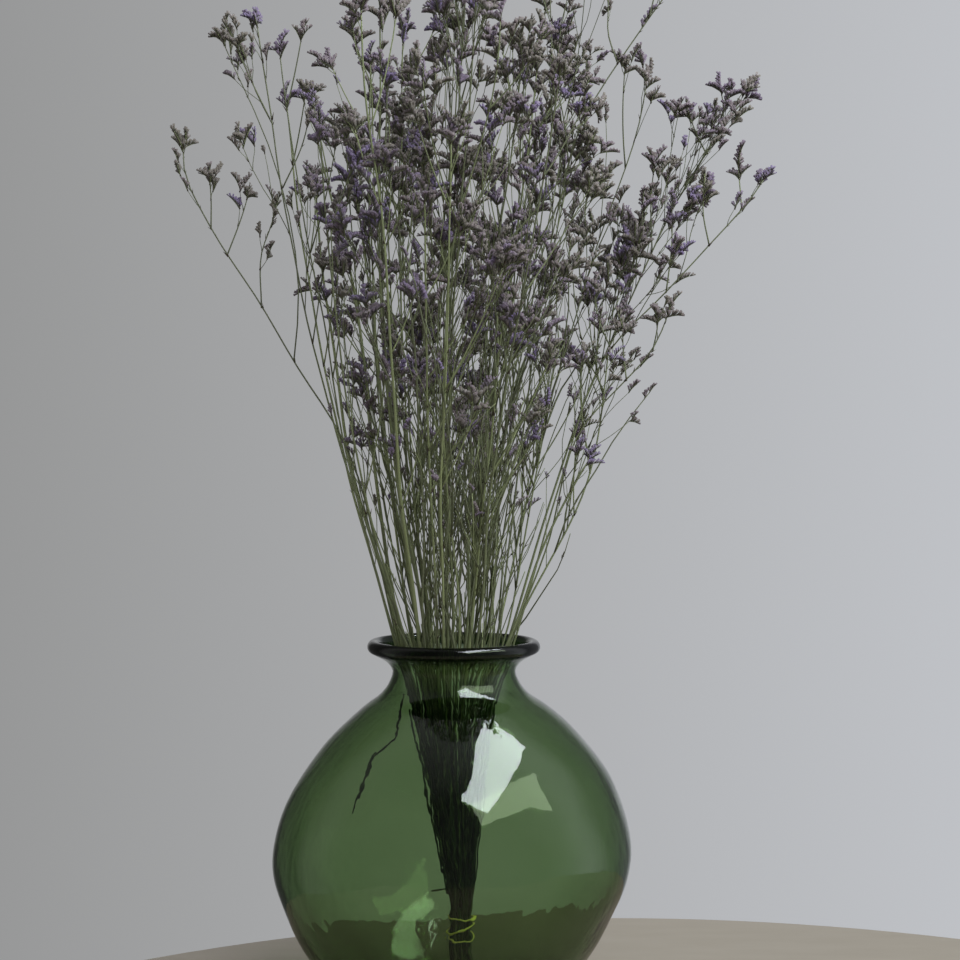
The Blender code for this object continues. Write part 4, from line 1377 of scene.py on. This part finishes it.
def rubber_band():
    """The band: a ring extruded along its three turns and bridged to its own start."""
    turns = band_points()
    path = Path(smooth_rows(np.vstack([turns, turns[:1]]), BAND_RINGS + 1), UP)
    bm = shoot_mesh()
    radii = np.full(BAND_RINGS, BAND_RADIUS)
    foot_edges, tip = grow_rings(bm, path, path.along[:-1], radii, FINE_BAND_SIDES, MIDDLE_TONE)
    tip_edges = list(tip.edges)
    bmesh.ops.delete(bm, geom=[tip], context="FACES_ONLY")
    bmesh.ops.bridge_loops(bm, edges=foot_edges + tip_edges)
    band = finish("wound_band", bm)
    band.data.materials.append(LOOKS["rubber"])
    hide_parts("binding_band")


def loose_strands(bract):
    """Strands that have come away inside the vase, and a kinked twig leaning against the glass."""
    bm = shoot_mesh()
    for rows, foot, tip, age in LOOSE_STRANDS:
        path = Path(smooth_rows(np.array(rows, float) * MM, STRAND_POINTS), ALONG_Y)
        marks = np.linspace(0.0, path.length, STRAND_RINGS)
        grow_tube(bm, path, marks, np.linspace(foot, tip, STRAND_RINGS) * MM, STALK_SIDES, age)
    for rows, sizes in KINKED_TWIGS:
        path = Path(np.array(rows, float) * MM, ALONG_Y)
        grow_tube(bm, path, path.along, np.array(sizes) * MM, STALK_SIDES, KINKED_AGE)
        for mark in path.along[1:-1]:
            place, tangent, side = path.at(mark)
            leaf = turned_frame(place, tangent + KINKED_LEAF_TILT * side, side, KINKED_LEAF)
            put(bm, bract, leaf, KINKED_AGE)
    finish_shoots("loose_strands", bm)


# ---- finishes ----


class Nodes:
    """A node tree, with short ways to add to it."""

    def __init__(self, tree):
        self.nodes = tree.nodes
        self.links = tree.links

    def add(self, kind, **values):
        node = self.nodes.new(kind)
        for key, value in values.items():
            setattr(node, key, value)
        return node

    def link(self, start, end):
        self.links.new(start, end)

    def split(self, space):
        """The three parts of the object's coordinates or of the direction looked in."""
        coordinates = self.add("ShaderNodeTexCoord")
        parts = self.add("ShaderNodeSeparateXYZ")
        self.link(coordinates.outputs[space], parts.inputs["Vector"])
        return parts.outputs

    def between(self, value, low, high, kind="SMOOTHSTEP"):
        """0 where value is under low, 1 where it is over high, and smooth from one to the other."""
        spread = self.add("ShaderNodeMapRange", interpolation_type=kind)
        spread.inputs["From Min"].default_value = low
        spread.inputs["From Max"].default_value = high
        self.link(value, spread.inputs["Value"])
        return spread.outputs["Result"]

    def ramp(self, value, stops):
        """Colours by value. Each stop is a position and a colour."""
        ramp = self.add("ShaderNodeValToRGB")
        elements = ramp.color_ramp.elements
        while len(elements) < len(stops):
            elements.new(0.5)
        for element, (position, colour) in zip(elements, stops):
            element.position = position
            element.color = (*colour, 1.0)
        self.link(value, ramp.inputs["Fac"])
        return ramp.outputs["Color"]


class Look(Nodes):
    """A material and its nodes."""

    def __init__(self, name):
        self.material = bpy.data.materials.new(name)
        self.material.use_nodes = True
        super().__init__(self.material.node_tree)
        self.shader = self.nodes["Principled BSDF"]
        self.output = self.nodes["Material Output"]

    def shade(self, colour, **values):
        """Links the base colour and sets the shader's sockets, named with _ for each space."""
        self.link(colour, self.shader.inputs["Base Color"])
        for name, value in values.items():
            self.shader.inputs[name.replace("_", " ")].default_value = value

    def place(self, scale):
        """Object coordinates, stretched by scale."""
        coordinates = self.add("ShaderNodeTexCoord")
        mapping = self.add("ShaderNodeMapping")
        mapping.inputs["Scale"].default_value = scale
        self.link(coordinates.outputs["Object"], mapping.inputs["Vector"])
        return mapping.outputs["Vector"]

    def noise(self, scale, size, detail=3.0, roughness=0.5):
        texture = self.add("ShaderNodeTexNoise")
        texture.inputs["Scale"].default_value = size
        texture.inputs["Detail"].default_value = detail
        texture.inputs["Roughness"].default_value = roughness
        self.link(self.place(scale), texture.inputs["Vector"])
        return texture.outputs["Fac"]

    def height(self):
        """How high a point of the piece lies, in metres."""
        return self.split("Object")["Z"]

    def attribute(self, name):
        return self.add("ShaderNodeAttribute", attribute_name=name).outputs["Fac"]

    def math(self, operation, *values):
        node = self.add("ShaderNodeMath", operation=operation)
        for socket, value in zip(node.inputs, values):
            if isinstance(value, (int, float)):
                socket.default_value = value
            else:
                self.link(value, socket)
        return node.outputs["Value"]

    def scattered_tone(self, scale, size, reach):
        """The piece's tone, spread by a noise that takes it this far up or down."""
        scatter = self.math("MULTIPLY_ADD", self.noise(scale, size), 2 * reach, -reach)
        return self.math("ADD", self.attribute("tone"), scatter)

    def mix(self, share, first, second, blend="MIX"):
        node = self.add("ShaderNodeMix", data_type="RGBA", blend_type=blend)
        for socket, value in zip((node.inputs[0], node.inputs[6], node.inputs[7]), (share, first, second)):
            if isinstance(value, (int, float)):
                socket.default_value = value
            elif isinstance(value, tuple):
                socket.default_value = (*value, 1.0)
            else:
                self.link(value, socket)
        return node.outputs[2]

    def bump(self, height, strength, depth):
        node = self.add("ShaderNodeBump")
        node.inputs["Strength"].default_value = strength
        node.inputs["Distance"].default_value = depth
        self.link(height, node.inputs["Height"])
        self.link(node.outputs["Normal"], self.shader.inputs["Normal"])


def green_glass():
    """Bottle-green glass, tinted through its depth so that the thick lip and the edges are darkest."""
    look = Look("green_glass")
    lip = look.between(look.height(), *LIP_SHADE_HEIGHTS)
    look.shade(look.mix(lip, GLASS_FACE, GLASS_LIP), Roughness=0.0, IOR=1.5, Transmission_Weight=1.0)
    waves = look.noise((1.0, 1.0, 0.7), size=34.0, detail=2.0)
    ripples = look.noise((1.0, 1.0, 0.6), size=150.0, detail=1.0)
    look.bump(look.math("MULTIPLY_ADD", ripples, RIPPLE_SHARE, waves), strength=0.25, depth=0.8 * MM)
    clear = look.add("ShaderNodeBsdfTransparent")
    clear.inputs["Color"].default_value = (*GLASS_FACE, 1.0)
    path = look.add("ShaderNodeLightPath")
    both = look.add("ShaderNodeMixShader")
    look.link(path.outputs["Is Shadow Ray"], both.inputs[0])
    look.link(look.shader.outputs["BSDF"], both.inputs[1])
    look.link(clear.outputs["BSDF"], both.inputs[2])
    look.link(both.outputs["Shader"], look.output.inputs["Surface"])
    depth = look.add("ShaderNodeVolumeAbsorption")
    depth.inputs["Color"].default_value = (*GLASS_DEPTH, 1.0)
    depth.inputs["Density"].default_value = GLASS_DENSITY
    look.link(depth.outputs["Volume"], look.output.inputs["Volume"])
    return look.material


def dried_stalk():
    """Ribbed dried stalk, olive when young (tone 0) and grey-brown when old (tone 1), darkened low in the
    vase by painted shade with lighter streaks.
    """
    look = Look("dried_stalk")
    age = look.scattered_tone((1.0, 1.0, 0.25), size=160.0, reach=0.45)
    age = look.math("MULTIPLY_ADD", look.between(look.height(), *OLD_HEIGHTS), OLD_SHARE, age)
    fibre = look.noise((1.0, 1.0, 0.04), size=2600.0, detail=2.0)
    streak = look.math("MULTIPLY", fibre, STREAK_SHARE)
    colour = look.mix(streak, look.ramp(age, STALK_COLOURS), STALK_STREAK)
    # Painted shade: the stalks darken low in the vase, lighter in streaks.
    shade_streaks = look.between(look.noise((1.0, 1.0, 0.05), size=420.0, detail=1.0), *SHADE_STREAK_BAND)
    vase_shade = look.mix(shade_streaks, VASE_SHADE_STALK, VASE_SHADE_STREAK)
    shade = look.mix(look.between(look.height(), *VASE_SHADE_HEIGHTS), vase_shade, UNSHADED_STALK)
    look.shade(look.mix(1.0, colour, shade, "MULTIPLY"), Roughness=0.72, Specular_IOR_Level=0.3)
    look.bump(fibre, strength=0.6, depth=0.15 * MM)
    return look.material


def papery_calyx():
    """Dry papery calyxes: brown-green at the foot, grey-mauve to violet at the rim, with painted highlights
    in pale patches on the rims.
    """
    look = Look("papery_calyx")
    rim = look.ramp(look.scattered_tone(EVEN, size=420.0, reach=0.35), RIM_COLOURS)
    # Painted highlights: pale patches on the rims.
    highlit_patches = look.between(look.noise(EVEN, size=330.0), *RIM_HIGHLIGHT_BAND)
    rim = look.mix(look.math("MULTIPLY", highlit_patches, RIM_HIGHLIGHT_SHARE), rim, RIM_HIGHLIGHT)
    foot = look.ramp(look.noise(EVEN, size=700.0), FLORET_FOOT_COLOURS)
    bloom = look.math("MULTIPLY", look.attribute("bloom"), BLOOM_GAIN)
    colour = look.mix(look.math("SMOOTH_MIN", bloom, 1.0, BLOOM_ROUNDING), foot, rim)
    look.shade(colour, Roughness=0.85, Specular_IOR_Level=0.2, Sheen_Weight=0.15)
    look.bump(look.noise(EVEN, size=2400.0, detail=2.0), strength=0.5, depth=0.1 * MM)
    return look.material


def brown_scale():
    """The small brown scales at every joint."""
    look = Look("brown_scale")
    look.shade(look.ramp(look.noise((1.0, 1.0, 0.4), size=900.0), SCALE_COLOURS), Roughness=0.8)
    look.bump(look.noise((1.0, 1.0, 0.2), size=3000.0, detail=2.0), strength=0.4, depth=0.1 * MM)
    return look.material


def yellow_rubber():
    """Old yellow rubber, a little dusty and cracked."""
    look = Look("yellow_rubber")
    look.shade(look.ramp(look.noise(EVEN, size=500.0), RUBBER_COLOURS), Roughness=0.55)
    look.bump(look.noise(EVEN, size=2500.0, detail=2.0), strength=0.3, depth=0.08 * MM)
    return look.material


# ---- the scene round it ----


def pale_floor():
    """A round pale table top under the vase."""
    bm = bmesh.new()
    bmesh.ops.create_circle(bm, cap_ends=True, radius=TABLE_RADIUS, segments=TABLE_SIDES)
    bmesh.ops.translate(bm, vec=(0.0, 0.0, -TABLE_THICK), verts=bm.verts)
    bmesh.ops.solidify(bm, geom=list(bm.faces), thickness=-TABLE_THICK)
    bmesh.ops.translate(bm, vec=TABLE_PLACE, verts=bm.verts)
    mesh = store(bm, "table_top")
    look = Look("pale_floor")
    colour = look.ramp(look.noise((0.25, 1.0, 1.0), size=60.0, detail=4.0), FLOOR_COLOURS)
    rays = look.add("ShaderNodeLightPath")
    dimmed = look.mix(1.0, colour, MIRRORED_TABLE, "MULTIPLY")
    look.shade(look.mix(rays.outputs["Is Glossy Ray"], colour, dimmed), Roughness=0.75)
    mesh.materials.append(look.material)
    table = bpy.data.objects.new("table_top", mesh)
    bpy.context.scene.collection.objects.link(table)


def window_light(name, bearing, elevation, roll, width, height, radiance, colour):
    """A soft rectangular light, LIGHT_DISTANCE from the belly of the vase and facing it."""
    light = bpy.data.lights.new(name, "AREA")
    light.shape = "RECTANGLE"
    light.size = width
    light.size_y = height
    light.energy = radiance * math.pi * width * height
    light.color = colour
    lamp = bpy.data.objects.new(name, light)
    bpy.context.scene.collection.objects.link(lamp)
    bearing, elevation, roll = (math.radians(angle) for angle in (bearing, elevation, roll))
    level = math.cos(elevation)
    back = np.array((level * math.cos(bearing), level * math.sin(bearing), math.sin(elevation)))
    along = unit(np.cross(-back, UP))
    upward = np.cross(back, along)
    matrix = np.eye(4)
    matrix[:3, 0] = along * math.cos(roll) + upward * math.sin(roll)
    matrix[:3, 1] = upward * math.cos(roll) - along * math.sin(roll)
    matrix[:3, 2] = back
    matrix[:3, 3] = np.array(BELLY) + back * LIGHT_DISTANCE
    lamp.matrix_world = Matrix(matrix.tolist())
    lamp.visible_camera = False
    return lamp


def plain_world():
    """A pale wall, brighter on the window's side. A darker room mirrors in the glass from beside it."""
    world = bpy.data.worlds.new("pale_room")
    bpy.context.scene.world = world
    world.use_nodes = True
    sky = Nodes(world.node_tree)
    direction = sky.split("Generated")
    wall = sky.ramp(sky.between(direction["X"], -WALL_SPREAD, WALL_SPREAD, "LINEAR"), WALL_COLOURS)
    ahead = sky.between(direction["Y"], -1.0, 1.0, "LINEAR")
    share = sky.ramp(ahead, [(position, (bright,) * 3) for position, bright in ROOM_SHARES])
    rays = sky.add("ShaderNodeLightPath")
    room = sky.add("ShaderNodeMix")
    room.inputs["A"].default_value = 1.0
    sky.link(rays.outputs["Is Glossy Ray"], room.inputs["Factor"])
    sky.link(share, room.inputs["B"])
    background = sky.nodes["Background"]
    sky.link(wall, background.inputs["Color"])
    sky.link(room.outputs["Result"], background.inputs["Strength"])


def level_camera():
    """The camera: level, a metre in front of the vase."""
    data = bpy.data.cameras.new("camera")
    data.lens = LENS
    data.sensor_width = SENSOR
    data.clip_start = NEAREST_SEEN
    camera = bpy.data.objects.new("camera", data)
    bpy.context.scene.collection.objects.link(camera)
    camera.location = CAMERA_PLACE
    camera.rotation_euler = (math.radians(90), 0.0, 0.0)
    bpy.context.scene.camera = camera


# ---- assembly ----

LOOKS = {
    "glass": green_glass(),
    "stalk": dried_stalk(),
    "paper": papery_calyx(),
    "scale": brown_scale(),
    "rubber": yellow_rubber(),
}


def main():
    plain_world()
    level_camera()
    pale_floor()
    for name, values in WINDOWS.items():
        window_light(name, *values)
    for name, values in SOFT_FILLS.items():
        fill = window_light(name, *values)
        fill.visible_glossy = False
        fill.visible_transmission = False
    bpy.context.scene.view_settings.view_transform = "Standard"
    glass_vase()
    rubber_band()
    spikes, bract = model_spikes()
    rng = np.random.default_rng(SEED)
    rods = Rods()
    profile = vase_profile(OUTSIDE_RINGS, LIP_POINTS)
    slots = list(bundle_slots())
    stems = grow_reaching_stems(slots, rods, profile, rng)
    grow_bunch(stems, slots, rods, profile, rng)
    for number, stem in enumerate(stems, 1):
        dress_stem(number, stem, spikes, bract, profile)
    loose_strands(bract)
    for mesh in spikes + [bract]:
        bpy.data.meshes.remove(mesh)


main()
